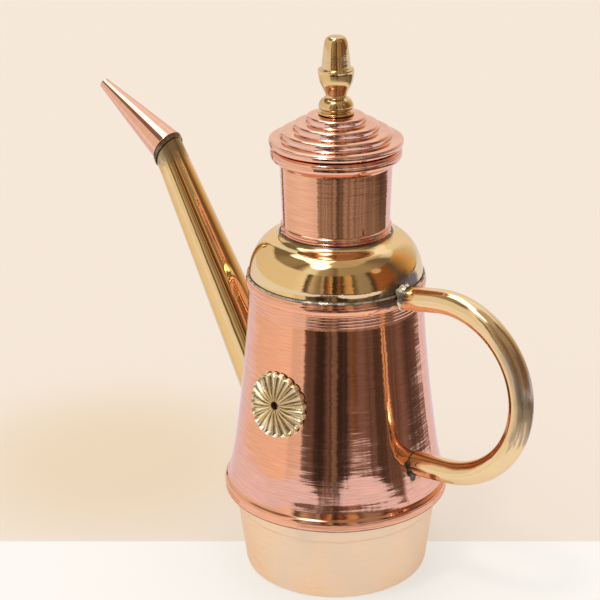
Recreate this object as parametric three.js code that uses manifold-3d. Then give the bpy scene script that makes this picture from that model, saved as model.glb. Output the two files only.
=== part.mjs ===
// Oil dispenser of spun copper and brass: jar, slanted spout, bent handle and lift-off lid.
// Millimetres, +Z up. The jar stands on Z = 0 with its axis on Z, the handle towards +X,
// the spout towards -X and the rosette near -Y.
import * as THREE from 'three';
import { mergeVertices } from 'three/addons/utils/BufferGeometryUtils.js';
import Module from 'manifold-3d';

// Sheet metal and the space between pieces that meet
const SHEET = 1.0;
const SEAM_GAP = 0.3;

// Sides of the turned pieces
const JAR_SIDES = 36;
const SMALL_SIDES = 20;
const SCREW_SIDES = 12;

// Base cup
const CUP_HEIGHT = 43.4;
const CUP_FOOT_RADIUS = 45.6;
const CUP_EDGE_HEIGHT = 3;
const CUP_EDGE_FLARE = 1.8;
const CUP_BAND_WIDTH = 8.4;
const CUP_BAND_PROUD = 0.4;
const CUP_INSET = 2.6;
const CUP_FLOOR = 1.2;

// Body
const BODY_HEIGHT = 103.6;
const BODY_FOOT_RADIUS = 55.3;
const BODY_TOP_RADIUS = 43.8;
const BODY_CURVE = 1.47;
const BODY_CURVE_STEPS = 8;
const BODY_FOOT_FILLET = 3.4;
const LIP_HEIGHT = 6.2;
const LIP_PROUD = 2.4;
const LIP_BEVEL = 1.1;
const BEAD_HEIGHT = 5.8;
const BEAD_PROUD = 1.2;
const BEAD_BEVEL = 2;
const MOUTH_FLARE = 0.4;

// Shoulder
const DOME_HEIGHT = 21.1;
const DOME_STEPS = 7;
const DOME_OVERHANG = 0.2;
const SPIGOT_DEPTH = 4;
const COLLAR_HEIGHT = 5.5;

// Neck
const NECK_HEIGHT = 44.1;
const NECK_RADIUS = 26.4;
const NECK_FLARE = 1.6;
const NECK_BEAD_PROUD = 0.9;
const NECK_BEAD_HEIGHT = 1.5;
const NECK_BEAD_SPACING = 3.7;
const RIM_HEIGHT = 6.4;
const RIM_PROUD = 4.2;
const RIM_BEVEL = 1.4;

// Lid
const LID_OVERHANG = 0.6;
const LID_RIM_HEIGHT = 4.5;
const LID_STEPS = 3;
const LID_RISE = 3.8;
const LID_SLOPE = 0.8;
const LID_ROUND = 0.6;
const LID_TURN_UNDER = 3;
const SKIRT_DEPTH = 12;
const SKIRT_CLEARANCE = 0.6;

// Finial and its screw
const FINIAL_HEIGHT = 37.6;
const FINIAL_RADIUS = 9.1;
const FINIAL_MARGIN = 5.5;
const SCREW_RADIUS = 2;
const SCREW_REACH = 8.5;
const SCREW_HEAD_RADIUS = 3.8;
const SCREW_HEAD_HEIGHT = 2.6;
const WASHER_RADIUS = 5.2;
const WASHER_THICKNESS = 1;

// Spout
const SPOUT_ROOT_RISE = 38.4;
const SPOUT_ANGLE = 59.7;
const SPOUT_LENGTH = 132;
const SPOUT_BASE_RADIUS = 13.7;
const SPOUT_JOINT_RADIUS = 8.1;
const SPOUT_HOLE_MARGIN = 0.5;
const TIP_ANGLE = 29.7;
const TIP_LENGTH = 53.5;
const TIP_END_RADIUS = 2.9;
const TIP_PROUD = 1.2;
const SPOUT_SIDES = 24;

// Handle
const HANDLE_RADIUS = 6;
const HANDLE_TOP_TILT = 10;
const HANDLE_FOOT_TILT = 5.7;
const HANDLE_LEG = 18.7;
const HANDLE_BEND_RADIUS = 42.5;
const HANDLE_TOP_DROP = 2.2;
const HANDLE_FOOT_RISE = 20.4;
const HANDLE_STEPS = 26;
const HANDLE_SIDES = 16;

// Solder
const FILLET_WIDTH = 1.8;
const FILLET_RISE = 2.2;
const SEAM_SOLDER = 0.8;
const JOINT_BAND = 2;
const JOINT_PROUD = 0.9;

// Rosette
const ROSETTE_RADIUS = 16.7;
const ROSETTE_RISE = 54.7;
const ROSETTE_TURN = -87.3;
const ROSETTE_HOLE_RADIUS = 2;
const ROSETTE_THICKNESS = 0.8;
const ROSETTE_DISH = 1.3;
const ROSETTE_FLUTES = 20;
const ROSETTE_FLUTE_DEPTH = 0.9;
const ROSETTE_NOTCH = 0.8;
const ROSETTE_RINGS = 4;
const FLUTE_STEPS = 4;
const PAD_RADIUS = 6;

// Levels up the axis
const LIP_LEVEL = CUP_HEIGHT;
const BODY_LEVEL = LIP_LEVEL + LIP_HEIGHT;
const BEAD_LEVEL = BODY_LEVEL + BODY_HEIGHT;
const DOME_LEVEL = BEAD_LEVEL + BEAD_HEIGHT;
const NECK_LEVEL = DOME_LEVEL + DOME_HEIGHT + SEAM_GAP * 2;
const RIM_LEVEL = NECK_LEVEL + NECK_HEIGHT;
const LID_LEVEL = RIM_LEVEL + SEAM_GAP;
const LID_TREAD_LEVEL = LID_LEVEL + LID_RIM_HEIGHT;
const LID_TOP_LEVEL = LID_TREAD_LEVEL + LID_STEPS * LID_RISE;
const FINIAL_LEVEL = LID_TOP_LEVEL + SEAM_GAP;

// Radii that follow from the pieces they meet
const CUP_MOUTH_RADIUS = BODY_FOOT_RADIUS - CUP_INSET;
const LIP_RADIUS = BODY_FOOT_RADIUS + LIP_PROUD;
const FLANGE_RADIUS = LIP_RADIUS - SHEET - SEAM_GAP;
const BODY_MOUTH_RADIUS = BODY_TOP_RADIUS + MOUTH_FLARE;
const BEAD_RADIUS = BODY_TOP_RADIUS + BEAD_PROUD;
const SPIGOT_RADIUS = BODY_MOUTH_RADIUS - SHEET - SEAM_GAP;
const DOME_RADIUS = BODY_MOUTH_RADIUS - SHEET + DOME_OVERHANG;
const SEAM_RADIUS = DOME_RADIUS + SEAM_GAP + SEAM_SOLDER;
const NECK_FOOT_RADIUS = NECK_RADIUS + NECK_BEAD_PROUD;
const COLLAR_RADIUS = NECK_RADIUS - SHEET - SEAM_GAP;
const NECK_MOUTH_RADIUS = NECK_RADIUS + NECK_FLARE;
const RIM_RADIUS = NECK_MOUTH_RADIUS + RIM_PROUD;
const SKIRT_RADIUS = NECK_MOUTH_RADIUS - NECK_FLARE * (SKIRT_DEPTH / NECK_HEIGHT) - SHEET - SKIRT_CLEARANCE;
const LID_RADIUS = RIM_RADIUS + LID_OVERHANG;
const LID_STEP_RADIUS = SKIRT_RADIUS + SEAM_GAP + SHEET;
const LID_TOP_RADIUS = FINIAL_RADIUS + FINIAL_MARGIN;
const LID_TREAD = (LID_STEP_RADIUS - LID_TOP_RADIUS) / (LID_STEPS - 1);
const SCREW_HOLE_RADIUS = SCREW_RADIUS + SEAM_GAP;

const radians = THREE.MathUtils.degToRad;
const at = (radius, level) => new THREE.Vector2(radius, level);
const wasm = await Module();
wasm.setup();

// Solids

// Joins the vertices that coincide and leaves out the triangles that this closes up.
function weld(geometry) {
  geometry.deleteAttribute('normal');
  geometry.deleteAttribute('uv');
  const merged = mergeVertices(geometry, 1e-4);
  const corners = merged.index.array;
  const kept = [];
  for (let i = 0; i < corners.length; i += 3) {
    const [a, b, c] = corners.slice(i, i + 3);
    if (a !== b && b !== c && c !== a) kept.push(a, b, c);
  }
  merged.setIndex(kept);
  return merged;
}

function solid(geometry) {
  return new wasm.Manifold(new wasm.Mesh({
    numProp: 3,
    vertProperties: geometry.attributes.position.array,
    triVerts: new Uint32Array(geometry.index.array),
  }));
}

function surface(manifold) {
  const mesh = manifold.getMesh();
  const geometry = new THREE.BufferGeometry();
  geometry.setAttribute('position', new THREE.BufferAttribute(mesh.vertProperties, 3));
  geometry.setIndex(Array.from(mesh.triVerts));
  return geometry;
}

// A turned piece: the outline runs up the outside and down the inside, or ends on the axis.
function turned(outline, sides = JAR_SIDES) {
  const geometry = new THREE.LatheGeometry(outline, sides);
  geometry.rotateX(Math.PI / 2);
  return weld(geometry);
}

const closed = (outline) => [...outline, outline[0]];

// Lays a piece made along +Z along a slanted line in the XZ plane: angle above the ground, towards -X.
function slanted(geometry, angle, foot) {
  geometry.rotateY(radians(angle - 90));
  geometry.translate(foot.x, 0, foot.y);
  return geometry;
}

// The body's outer radius between its lip and its bead
function bodyRadius(level) {
  const start = BODY_LEVEL + BODY_FOOT_FILLET;
  const rise = THREE.MathUtils.clamp((level - start) / (BEAD_LEVEL - start), 0, 1);
  return BODY_TOP_RADIUS + (BODY_FOOT_RADIUS - BODY_TOP_RADIUS) * (1 - rise) ** BODY_CURVE;
}

function bodyCurve(inset) {
  const start = BODY_LEVEL + BODY_FOOT_FILLET;
  const points = [];
  for (let i = 0; i <= BODY_CURVE_STEPS; i += 1) {
    const level = start + (BEAD_LEVEL - start) * (i / BODY_CURVE_STEPS);
    points.push(at(bodyRadius(level) - inset, level));
  }
  return points;
}

// The shoulder's quarter ellipse, from its foot to its top, drawn in by the inset
function domeCurve(inset) {
  const points = [];
  for (let i = 0; i <= DOME_STEPS; i += 1) {
    const turn = (Math.PI / 2) * (i / DOME_STEPS);
    const across = DOME_RADIUS - NECK_FOOT_RADIUS - inset;
    const up = DOME_HEIGHT - inset;
    points.push(at(NECK_FOOT_RADIUS + across * Math.cos(turn), DOME_LEVEL + SEAM_GAP + up * Math.sin(turn)));
  }
  return points;
}

// The solid outer form of body and shoulder, grown by a clearance: spout and handle end on it.
function vesselForm(clearance) {
  const outline = [
    at(0, BODY_LEVEL),
    at(BODY_FOOT_RADIUS + LIP_PROUD + clearance, BODY_LEVEL),
    ...bodyCurve(-clearance),
    at(BEAD_RADIUS + clearance, BEAD_LEVEL + BEAD_BEVEL),
    at(BEAD_RADIUS + clearance, DOME_LEVEL - BEAD_BEVEL),
    at(SEAM_RADIUS + clearance, DOME_LEVEL + SEAM_GAP),
    at(DOME_RADIUS + SEAM_GAP + clearance, DOME_LEVEL + SEAM_GAP + SEAM_SOLDER + clearance),
    ...domeCurve(-clearance).slice(1),
    at(0, DOME_LEVEL + DOME_HEIGHT + clearance),
  ];
  return solid(turned(outline));
}

// Base cup

function baseCup() {
  const bandLevel = CUP_HEIGHT - CUP_BAND_WIDTH;
  const edgeRadius = CUP_FOOT_RADIUS + CUP_EDGE_FLARE;
  const bandRadius = CUP_MOUTH_RADIUS - CUP_BAND_PROUD * 2;
  const flangeUnder = LIP_LEVEL + SHEET + SEAM_GAP;
  const flangeTop = flangeUnder + SHEET;
  return turned([
    at(0, 0),
    at(CUP_FOOT_RADIUS, 0),
    at(edgeRadius, CUP_EDGE_HEIGHT),
    at(bandRadius - CUP_BAND_PROUD, bandLevel),
    at(bandRadius, bandLevel + CUP_BAND_PROUD),
    at(CUP_MOUTH_RADIUS, CUP_HEIGHT),
    at(CUP_MOUTH_RADIUS, flangeUnder),
    at(FLANGE_RADIUS, flangeUnder),
    at(FLANGE_RADIUS, flangeTop),
    at(CUP_MOUTH_RADIUS - SHEET, flangeTop),
    at(CUP_MOUTH_RADIUS - SHEET, CUP_HEIGHT),
    at(bandRadius - CUP_BAND_PROUD - SHEET, bandLevel),
    at(edgeRadius - SHEET, CUP_EDGE_HEIGHT + SHEET),
    at(CUP_FOOT_RADIUS - SHEET, CUP_FLOOR),
    at(0, CUP_FLOOR),
  ]);
}

function baseSolderSeam() {
  const bottom = LIP_LEVEL + SHEET + SEAM_GAP + SHEET + SEAM_GAP;
  const outer = FLANGE_RADIUS - SEAM_GAP;
  return turned(closed([
    at(outer - SEAM_SOLDER * 3, bottom),
    at(outer, bottom),
    at(outer, bottom + SEAM_SOLDER),
    at(outer - SEAM_SOLDER, bottom + SEAM_SOLDER),
  ]));
}

// Body

function bodyShell() {
  const innerLip = LIP_RADIUS - SHEET;
  const outline = [
    at(CUP_MOUTH_RADIUS + SEAM_GAP, LIP_LEVEL),
    at(LIP_RADIUS - LIP_BEVEL / 2, LIP_LEVEL),
    at(LIP_RADIUS, LIP_LEVEL + LIP_BEVEL),
    at(LIP_RADIUS, BODY_LEVEL - LIP_BEVEL),
    at(LIP_RADIUS - LIP_BEVEL, BODY_LEVEL),
    ...bodyCurve(0),
    at(BEAD_RADIUS, BEAD_LEVEL + BEAD_BEVEL),
    at(BEAD_RADIUS, DOME_LEVEL - BEAD_BEVEL),
    at(BODY_MOUTH_RADIUS, DOME_LEVEL),
    at(BODY_MOUTH_RADIUS - SHEET, DOME_LEVEL),
    at(BODY_MOUTH_RADIUS - SHEET, BEAD_LEVEL + BEAD_BEVEL),
    ...bodyCurve(SHEET).reverse(),
    at(innerLip - LIP_BEVEL, BODY_LEVEL - LIP_BEVEL / 2),
    at(innerLip, BODY_LEVEL - LIP_BEVEL - SHEET / 2),
    at(innerLip, LIP_LEVEL + SHEET),
    at(CUP_MOUTH_RADIUS + SEAM_GAP, LIP_LEVEL + SHEET),
  ];
  return surface(solid(turned(closed(outline))).subtract(solid(spoutHole())));
}

// Shoulder

function shoulderDome() {
  const collarTop = NECK_LEVEL + COLLAR_HEIGHT;
  const collarBore = COLLAR_RADIUS - SHEET;
  const spigotBottom = DOME_LEVEL - SPIGOT_DEPTH;
  return turned(closed([
    at(SPIGOT_RADIUS, spigotBottom),
    at(SPIGOT_RADIUS, DOME_LEVEL + SEAM_GAP),
    ...domeCurve(0),
    at(COLLAR_RADIUS, DOME_LEVEL + DOME_HEIGHT + SEAM_GAP),
    at(COLLAR_RADIUS, collarTop),
    at(collarBore, collarTop),
    at(collarBore, DOME_LEVEL + DOME_HEIGHT - SHEET + SEAM_GAP),
    ...domeCurve(SHEET).reverse().slice(0, -1),
    at(SPIGOT_RADIUS - SHEET, DOME_LEVEL),
    at(SPIGOT_RADIUS - SHEET, spigotBottom),
  ]));
}

function shoulderSolderSeam() {
  const inner = DOME_RADIUS + SEAM_GAP;
  const bottom = DOME_LEVEL + SEAM_GAP;
  return turned(closed([
    at(inner, bottom),
    at(SEAM_RADIUS, bottom),
    at(inner, bottom + SEAM_SOLDER),
  ]));
}

// Neck

// The neck's outer radius between its foot and its rim
function neckRadius(level) {
  return NECK_RADIUS + NECK_FLARE * ((level - NECK_LEVEL) / NECK_HEIGHT);
}

function neckBead(level) {
  const proud = neckRadius(level) + NECK_BEAD_PROUD;
  const round = NECK_BEAD_HEIGHT / 4;
  return [
    at(neckRadius(level), level),
    at(proud, level + round),
    at(proud, level + NECK_BEAD_HEIGHT - round),
    at(neckRadius(level), level + NECK_BEAD_HEIGHT),
  ];
}

function neckCup() {
  const curlBottom = RIM_LEVEL - RIM_HEIGHT;
  const lipEdge = neckRadius(curlBottom) + SEAM_GAP * 2;
  return turned(closed([
    at(NECK_RADIUS - SHEET, NECK_LEVEL),
    ...neckBead(NECK_LEVEL),
    ...neckBead(NECK_LEVEL + NECK_BEAD_SPACING),
    at(neckRadius(RIM_LEVEL - SHEET), RIM_LEVEL - SHEET),
    at(RIM_RADIUS - SHEET, RIM_LEVEL - SHEET),
    at(RIM_RADIUS - SHEET, curlBottom + SHEET + RIM_BEVEL),
    at(lipEdge, curlBottom + SHEET),
    at(lipEdge, curlBottom),
    at(RIM_RADIUS - RIM_BEVEL / 2, curlBottom + RIM_BEVEL / 2),
    at(RIM_RADIUS, curlBottom + RIM_BEVEL * 1.5),
    at(RIM_RADIUS, RIM_LEVEL - RIM_BEVEL / 2),
    at(RIM_RADIUS - RIM_BEVEL / 2, RIM_LEVEL),
    at(NECK_MOUTH_RADIUS - SHEET, RIM_LEVEL),
  ]));
}

function neckSolderSeam() {
  const bottom = NECK_LEVEL + COLLAR_HEIGHT + SEAM_GAP;
  const outer = neckRadius(bottom) - SHEET - SEAM_GAP;
  return turned(closed([
    at(outer - SEAM_SOLDER, bottom),
    at(outer, bottom),
    at(outer, bottom + SEAM_SOLDER),
  ]));
}

// Lid

// The lid's outer line, from its rim to its top, step by step
function lidLine() {
  const line = [
    at(LID_RADIUS - SHEET, LID_LEVEL),
    at(LID_RADIUS, LID_LEVEL + SHEET),
    at(LID_RADIUS, LID_TREAD_LEVEL - LID_ROUND),
    at(LID_RADIUS - LID_ROUND, LID_TREAD_LEVEL),
  ];
  for (let step = 0; step < LID_STEPS; step += 1) {
    const radius = LID_STEP_RADIUS - LID_TREAD * step;
    const foot = LID_TREAD_LEVEL + LID_RISE * step + LID_SLOPE;
    const top = LID_TREAD_LEVEL + LID_RISE * (step + 1);
    line.push(at(radius, foot), at(radius, top - LID_ROUND), at(radius - LID_ROUND, top));
  }
  return line;
}

function lidCap() {
  const line = lidLine();
  const inner = line.slice(3).map((point) => at(point.x - SHEET, point.y - SHEET)).reverse();
  return turned(closed([
    at(LID_RADIUS - LID_TURN_UNDER - SHEET, LID_LEVEL),
    ...line,
    at(SCREW_HOLE_RADIUS, LID_TOP_LEVEL),
    at(SCREW_HOLE_RADIUS, LID_TOP_LEVEL - SHEET),
    ...inner,
    at(LID_RADIUS - SHEET, LID_LEVEL + SHEET),
    at(LID_RADIUS - LID_TURN_UNDER - SHEET, LID_LEVEL + SHEET),
  ]));
}

function lidSkirt() {
  const bottom = RIM_LEVEL - SKIRT_DEPTH;
  const top = LID_TREAD_LEVEL + LID_RISE - SHEET - LID_ROUND - SEAM_GAP;
  return turned(closed([
    at(SKIRT_RADIUS - SHEET, bottom),
    at(SKIRT_RADIUS, bottom),
    at(SKIRT_RADIUS, top),
    at(SKIRT_RADIUS - SHEET, top),
  ]));
}

function skirtSolderSeam() {
  const top = LID_TREAD_LEVEL + LID_RISE - SHEET - SEAM_GAP;
  const outer = SKIRT_RADIUS - SHEET - SEAM_GAP;
  return turned(closed([
    at(outer, top - SEAM_SOLDER * 1.5),
    at(outer, top),
    at(outer - SEAM_SOLDER * 1.5, top),
  ]));
}

// Finial: a stepped foot, a bead, a waist, a cup and a domed plug, as shares of its own size
function lidFinial() {
  const shape = [
    [1.0, 0], [1.0, 0.015], [0.81, 0.045], [0.79, 0.07], [0.9, 0.09], [0.98, 0.128], [0.95, 0.165],
    [0.78, 0.186], [0.79, 0.208], [0.61, 0.255], [0.62, 0.29], [0.7, 0.345], [0.84, 0.415],
    [0.96, 0.484], [1.0, 0.52], [1.0, 0.61], [0.77, 0.618], [0.775, 0.755], [0.75, 0.85],
    [0.68, 0.92], [0.59, 0.97], [0.48, 0.992], [0, 1],
  ];
  const holeTop = FINIAL_LEVEL + SCREW_REACH + SEAM_GAP;
  return turned([
    at(0, holeTop),
    at(SCREW_HOLE_RADIUS, holeTop),
    at(SCREW_HOLE_RADIUS, FINIAL_LEVEL),
    ...shape.map(([across, up]) => at(across * FINIAL_RADIUS, FINIAL_LEVEL + up * FINIAL_HEIGHT)),
  ], SMALL_SIDES);
}

function finialWasher() {
  const top = LID_TOP_LEVEL - SHEET - SEAM_GAP;
  return turned(closed([
    at(SCREW_HOLE_RADIUS, top - WASHER_THICKNESS),
    at(WASHER_RADIUS, top - WASHER_THICKNESS),
    at(WASHER_RADIUS, top),
    at(SCREW_HOLE_RADIUS, top),
  ]), SMALL_SIDES);
}

function finialScrew() {
  const headTop = LID_TOP_LEVEL - SHEET - SEAM_GAP - WASHER_THICKNESS - SEAM_GAP;
  return turned([
    at(0, headTop - SCREW_HEAD_HEIGHT),
    at(SCREW_HEAD_RADIUS, headTop - SCREW_HEAD_HEIGHT),
    at(SCREW_HEAD_RADIUS, headTop),
    at(SCREW_RADIUS, headTop),
    at(SCREW_RADIUS, FINIAL_LEVEL + SCREW_REACH),
    at(0, FINIAL_LEVEL + SCREW_REACH),
  ], SCREW_SIDES);
}

// Spout: a slanted tapered tube, cut off square to its tip, which is a cone

const rootLevel = BODY_LEVEL + SPOUT_ROOT_RISE;
const spoutRoot = at(-bodyRadius(rootLevel), rootLevel);
const spoutLine = at(-Math.cos(radians(SPOUT_ANGLE)), Math.sin(radians(SPOUT_ANGLE)));
const spoutJoint = spoutRoot.clone().addScaledVector(spoutLine, SPOUT_LENGTH);
const spoutStub = SPOUT_BASE_RADIUS * 2;
const tipRadius = SPOUT_JOINT_RADIUS + TIP_PROUD;

// A tube along +Z whose outer radius runs straight from one end to the other
function taperedTube(start, startRadius, end, endRadius, wall) {
  return turned(closed([
    at(startRadius - wall, start),
    at(startRadius, start),
    at(endRadius, end),
    at(endRadius - wall, end),
  ]), SPOUT_SIDES);
}

function spoutTaper(distance) {
  return SPOUT_BASE_RADIUS + (SPOUT_JOINT_RADIUS - SPOUT_BASE_RADIUS) * (distance / SPOUT_LENGTH);
}

function spoutHole() {
  const radius = SPOUT_BASE_RADIUS - SHEET - SPOUT_HOLE_MARGIN;
  const plug = turned([
    at(0, -spoutStub),
    at(radius, -spoutStub),
    at(radius, spoutStub),
    at(0, spoutStub),
  ], SPOUT_SIDES);
  return slanted(plug, SPOUT_ANGLE, spoutRoot);
}

// All that lies past a plane square to the tip, which stands a little before the joint
function pastJoint(before) {
  const block = new THREE.BoxGeometry(SPOUT_LENGTH, SPOUT_LENGTH, SPOUT_LENGTH);
  block.translate(0, 0, SPOUT_LENGTH / 2 - before);
  return solid(weld(slanted(block, TIP_ANGLE, spoutJoint)));
}

function spoutTube() {
  const end = SPOUT_LENGTH + tipRadius;
  const tube = taperedTube(-spoutStub, spoutTaper(-spoutStub), end, spoutTaper(end), SHEET);
  return surface(solid(slanted(tube, SPOUT_ANGLE, spoutRoot))
    .subtract(vesselForm(SEAM_GAP))
    .subtract(pastJoint(JOINT_BAND + SEAM_GAP * 2)));
}

function spoutTip() {
  return slanted(taperedTube(0, tipRadius, TIP_LENGTH, TIP_END_RADIUS, SHEET), TIP_ANGLE, spoutJoint);
}

// A band that follows the tube's end, between the tube and the tip
function spoutJointSolder() {
  const start = SPOUT_LENGTH - spoutStub;
  const end = SPOUT_LENGTH + spoutStub;
  const wall = SHEET + JOINT_PROUD;
  const collar = taperedTube(start, spoutTaper(start) + JOINT_PROUD, end, spoutTaper(end) + JOINT_PROUD, wall);
  return surface(solid(slanted(collar, SPOUT_ANGLE, spoutRoot))
    .intersect(pastJoint(JOINT_BAND + SEAM_GAP))
    .subtract(pastJoint(SEAM_GAP)));
}

function spoutBaseSolder() {
  const start = spoutTaper(-spoutStub) + FILLET_WIDTH + SEAM_GAP;
  const end = spoutTaper(spoutStub) + FILLET_WIDTH + SEAM_GAP;
  const collar = taperedTube(-spoutStub, start, spoutStub, end, FILLET_WIDTH);
  return surface(solid(slanted(collar, SPOUT_ANGLE, spoutRoot))
    .intersect(vesselForm(SEAM_GAP + FILLET_RISE))
    .subtract(vesselForm(SEAM_GAP)));
}

// Handle: two straight legs and two arcs between them, the lower one as large as the feet ask

const heading = (angle) => at(Math.cos(radians(angle)), Math.sin(radians(angle)));
const topLine = heading(HANDLE_TOP_TILT);
const footLine = heading(HANDLE_FOOT_TILT);
const footNormal = at(-footLine.y, footLine.x);
const footLevel = BODY_LEVEL + HANDLE_FOOT_RISE;
const handleTop = at(BEAD_RADIUS, DOME_LEVEL - HANDLE_TOP_DROP);
const handleFoot = at(bodyRadius(footLevel), footLevel);
const topCentre = handleTop.clone()
  .addScaledVector(topLine, HANDLE_LEG)
  .add(heading(HANDLE_TOP_TILT - 90).multiplyScalar(HANDLE_BEND_RADIUS));
const bendEnd = topCentre.clone().add(at(HANDLE_BEND_RADIUS, 0));
const lowBendRadius = bendEnd.clone().sub(handleFoot).dot(footNormal) / (1 - footLine.y);
const lowCentre = bendEnd.clone().sub(at(lowBendRadius, 0));
const inPlane = (point) => new THREE.Vector3(point.x, 0, point.y);

// An arc in the XZ plane between two angles above +X
class Bend extends THREE.Curve {
  constructor(centre, radius, start, end) {
    super();
    Object.assign(this, { centre, radius, start, end });
  }

  getPoint(share, target = new THREE.Vector3()) {
    const angle = this.start + (this.end - this.start) * share;
    const point = heading(angle).multiplyScalar(this.radius).add(this.centre);
    return target.set(point.x, 0, point.y);
  }
}

function circle(radius, sides) {
  const points = [];
  for (let i = 0; i < sides; i += 1) {
    const turn = (2 * Math.PI * i) / sides;
    points.push(at(radius * Math.cos(turn), radius * Math.sin(turn)));
  }
  return points;
}

function handleTube() {
  const inset = HANDLE_RADIUS * 2;
  const topBend = new Bend(topCentre, HANDLE_BEND_RADIUS, HANDLE_TOP_TILT + 90, 0);
  const lowBend = new Bend(lowCentre, lowBendRadius, 0, HANDLE_FOOT_TILT - 90);
  const topStart = handleTop.clone().addScaledVector(topLine, -inset);
  const footEnd = handleFoot.clone().addScaledVector(footLine, -inset);
  const path = new THREE.CurvePath();
  path.add(new THREE.LineCurve3(inPlane(topStart), topBend.getPoint(0)));
  path.add(topBend);
  path.add(lowBend);
  path.add(new THREE.LineCurve3(lowBend.getPoint(1), inPlane(footEnd)));
  const section = new THREE.Shape(circle(HANDLE_RADIUS, HANDLE_SIDES));
  section.holes.push(new THREE.Path(circle(HANDLE_RADIUS - SHEET, HANDLE_SIDES)));
  const tube = new THREE.ExtrudeGeometry(section, { steps: HANDLE_STEPS, extrudePath: path });
  return surface(solid(weld(tube)).subtract(vesselForm(SEAM_GAP)));
}

// The ring of solder round one end of the handle, where its leg meets the vessel
function handleSolder(seat, tilt) {
  const radius = HANDLE_RADIUS + SEAM_GAP + FILLET_WIDTH;
  const reach = HANDLE_RADIUS * 2;
  const collar = taperedTube(-reach, radius, reach, radius, FILLET_WIDTH);
  return surface(solid(slanted(collar, 180 - tilt, seat))
    .intersect(vesselForm(SEAM_GAP + FILLET_RISE))
    .subtract(vesselForm(SEAM_GAP)));
}

// Rosette: a dished disc with flutes, bent round the body

const rosetteLevel = BODY_LEVEL + ROSETTE_RISE;

// A point at a place on the body's wall: sideways, upwards and out from the wall
function onWall(sideways, upwards, out) {
  const turn = sideways / bodyRadius(rosetteLevel) + radians(ROSETTE_TURN);
  const level = rosetteLevel + upwards;
  const radius = bodyRadius(level) + out;
  return new THREE.Vector3(radius * Math.cos(turn), radius * Math.sin(turn), level);
}

// A ring-shaped solid on the wall. The section gives [radius, height] pairs, closed, for each turn.
function wallRing(steps, section) {
  const positions = [];
  const corners = [];
  const rows = section(0).length;
  for (let i = 0; i < steps; i += 1) {
    const turn = (2 * Math.PI * i) / steps;
    for (const [radius, out] of section(turn)) {
      positions.push(...onWall(radius * Math.cos(turn), radius * Math.sin(turn), out).toArray());
    }
    for (let j = 0; j < rows; j += 1) {
      const next = ((i + 1) % steps) * rows;
      const here = i * rows;
      const above = (j + 1) % rows;
      corners.push(here + j, next + above, next + j, here + j, here + above, next + above);
    }
  }
  const geometry = new THREE.BufferGeometry();
  geometry.setAttribute('position', new THREE.Float32BufferAttribute(positions, 3));
  geometry.setIndex(corners);
  return geometry;
}

// How far the rosette's back stands off the wall, at a radius
function rosetteBack(radius) {
  const share = Math.min(radius / ROSETTE_RADIUS, 1);
  return SEAM_GAP + ROSETTE_DISH * (1 - share ** 2);
}

function rosette() {
  const section = (turn) => {
    const ridge = (1 - Math.cos(ROSETTE_FLUTES * turn)) / 2;
    const rim = ROSETTE_RADIUS - ROSETTE_NOTCH * (1 - ridge);
    const back = [];
    const front = [];
    for (let ring = 0; ring < ROSETTE_RINGS; ring += 1) {
      const share = ring / (ROSETTE_RINGS - 1);
      const radius = ROSETTE_HOLE_RADIUS + (rim - ROSETTE_HOLE_RADIUS) * share;
      const flute = ROSETTE_FLUTE_DEPTH * ridge * Math.min(share * (ROSETTE_RINGS - 1), 1);
      back.push([radius, rosetteBack(radius)]);
      front.push([radius, rosetteBack(radius) + ROSETTE_THICKNESS + flute]);
    }
    return [...front, ...back.reverse()];
  };
  return wallRing(ROSETTE_FLUTES * FLUTE_STEPS, section);
}

function rosetteSolder() {
  const section = () => [
    [ROSETTE_HOLE_RADIUS, rosetteBack(PAD_RADIUS) - SEAM_GAP],
    [PAD_RADIUS, rosetteBack(PAD_RADIUS) - SEAM_GAP],
    [PAD_RADIUS, SEAM_GAP],
    [ROSETTE_HOLE_RADIUS, SEAM_GAP],
  ];
  return wallRing(SPOUT_SIDES, section);
}

// Materials

const finish = (color, roughness) => new THREE.MeshStandardMaterial({ color, roughness, metalness: 1 });
const copper = finish(0xd98c6e, 0.22);
const brass = finish(0xd9b868, 0.2);
const paleBrass = finish(0xe6cda0, 0.28);
const solderGrey = finish(0x55504c, 0.55);
const screwSteel = finish(0xb4b4b0, 0.35);

// The assembly

function piece(name, geometry, material) {
  const mesh = new THREE.Mesh(geometry, material);
  mesh.name = name;
  return mesh;
}

const jar = new THREE.Group();
jar.add(
  piece('base_cup', baseCup(), paleBrass),
  piece('base_solder_seam', baseSolderSeam(), solderGrey),
  piece('body_shell', bodyShell(), copper),
  piece('shoulder_dome', shoulderDome(), brass),
  piece('shoulder_solder_seam', shoulderSolderSeam(), solderGrey),
  piece('neck_cup', neckCup(), copper),
  piece('neck_solder_seam', neckSolderSeam(), solderGrey),
  piece('spout_tube', spoutTube(), brass),
  piece('spout_base_solder', spoutBaseSolder(), solderGrey),
  piece('spout_tip', spoutTip(), copper),
  piece('spout_joint_solder', spoutJointSolder(), solderGrey),
  piece('handle_tube', handleTube(), brass),
  piece('handle_top_solder', handleSolder(handleTop, HANDLE_TOP_TILT), solderGrey),
  piece('handle_bottom_solder', handleSolder(handleFoot, HANDLE_FOOT_TILT), solderGrey),
  piece('rosette', rosette(), brass),
  piece('rosette_solder', rosetteSolder(), solderGrey),
);

const lid = new THREE.Group();
lid.add(
  piece('lid_cap', lidCap(), copper),
  piece('lid_skirt', lidSkirt(), copper),
  piece('skirt_solder_seam', skirtSolderSeam(), solderGrey),
  piece('lid_finial', lidFinial(), brass),
  piece('finial_washer', finialWasher(), screwSteel),
  piece('finial_screw', finialScrew(), screwSteel),
);

const dispenser = new THREE.Group();
dispenser.add(jar, lid);
export default dispenser;
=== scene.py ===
"""Looks of an oil dispenser: turned copper and brass, drawn brass tube, solder and a pale stage."""
import math

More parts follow.
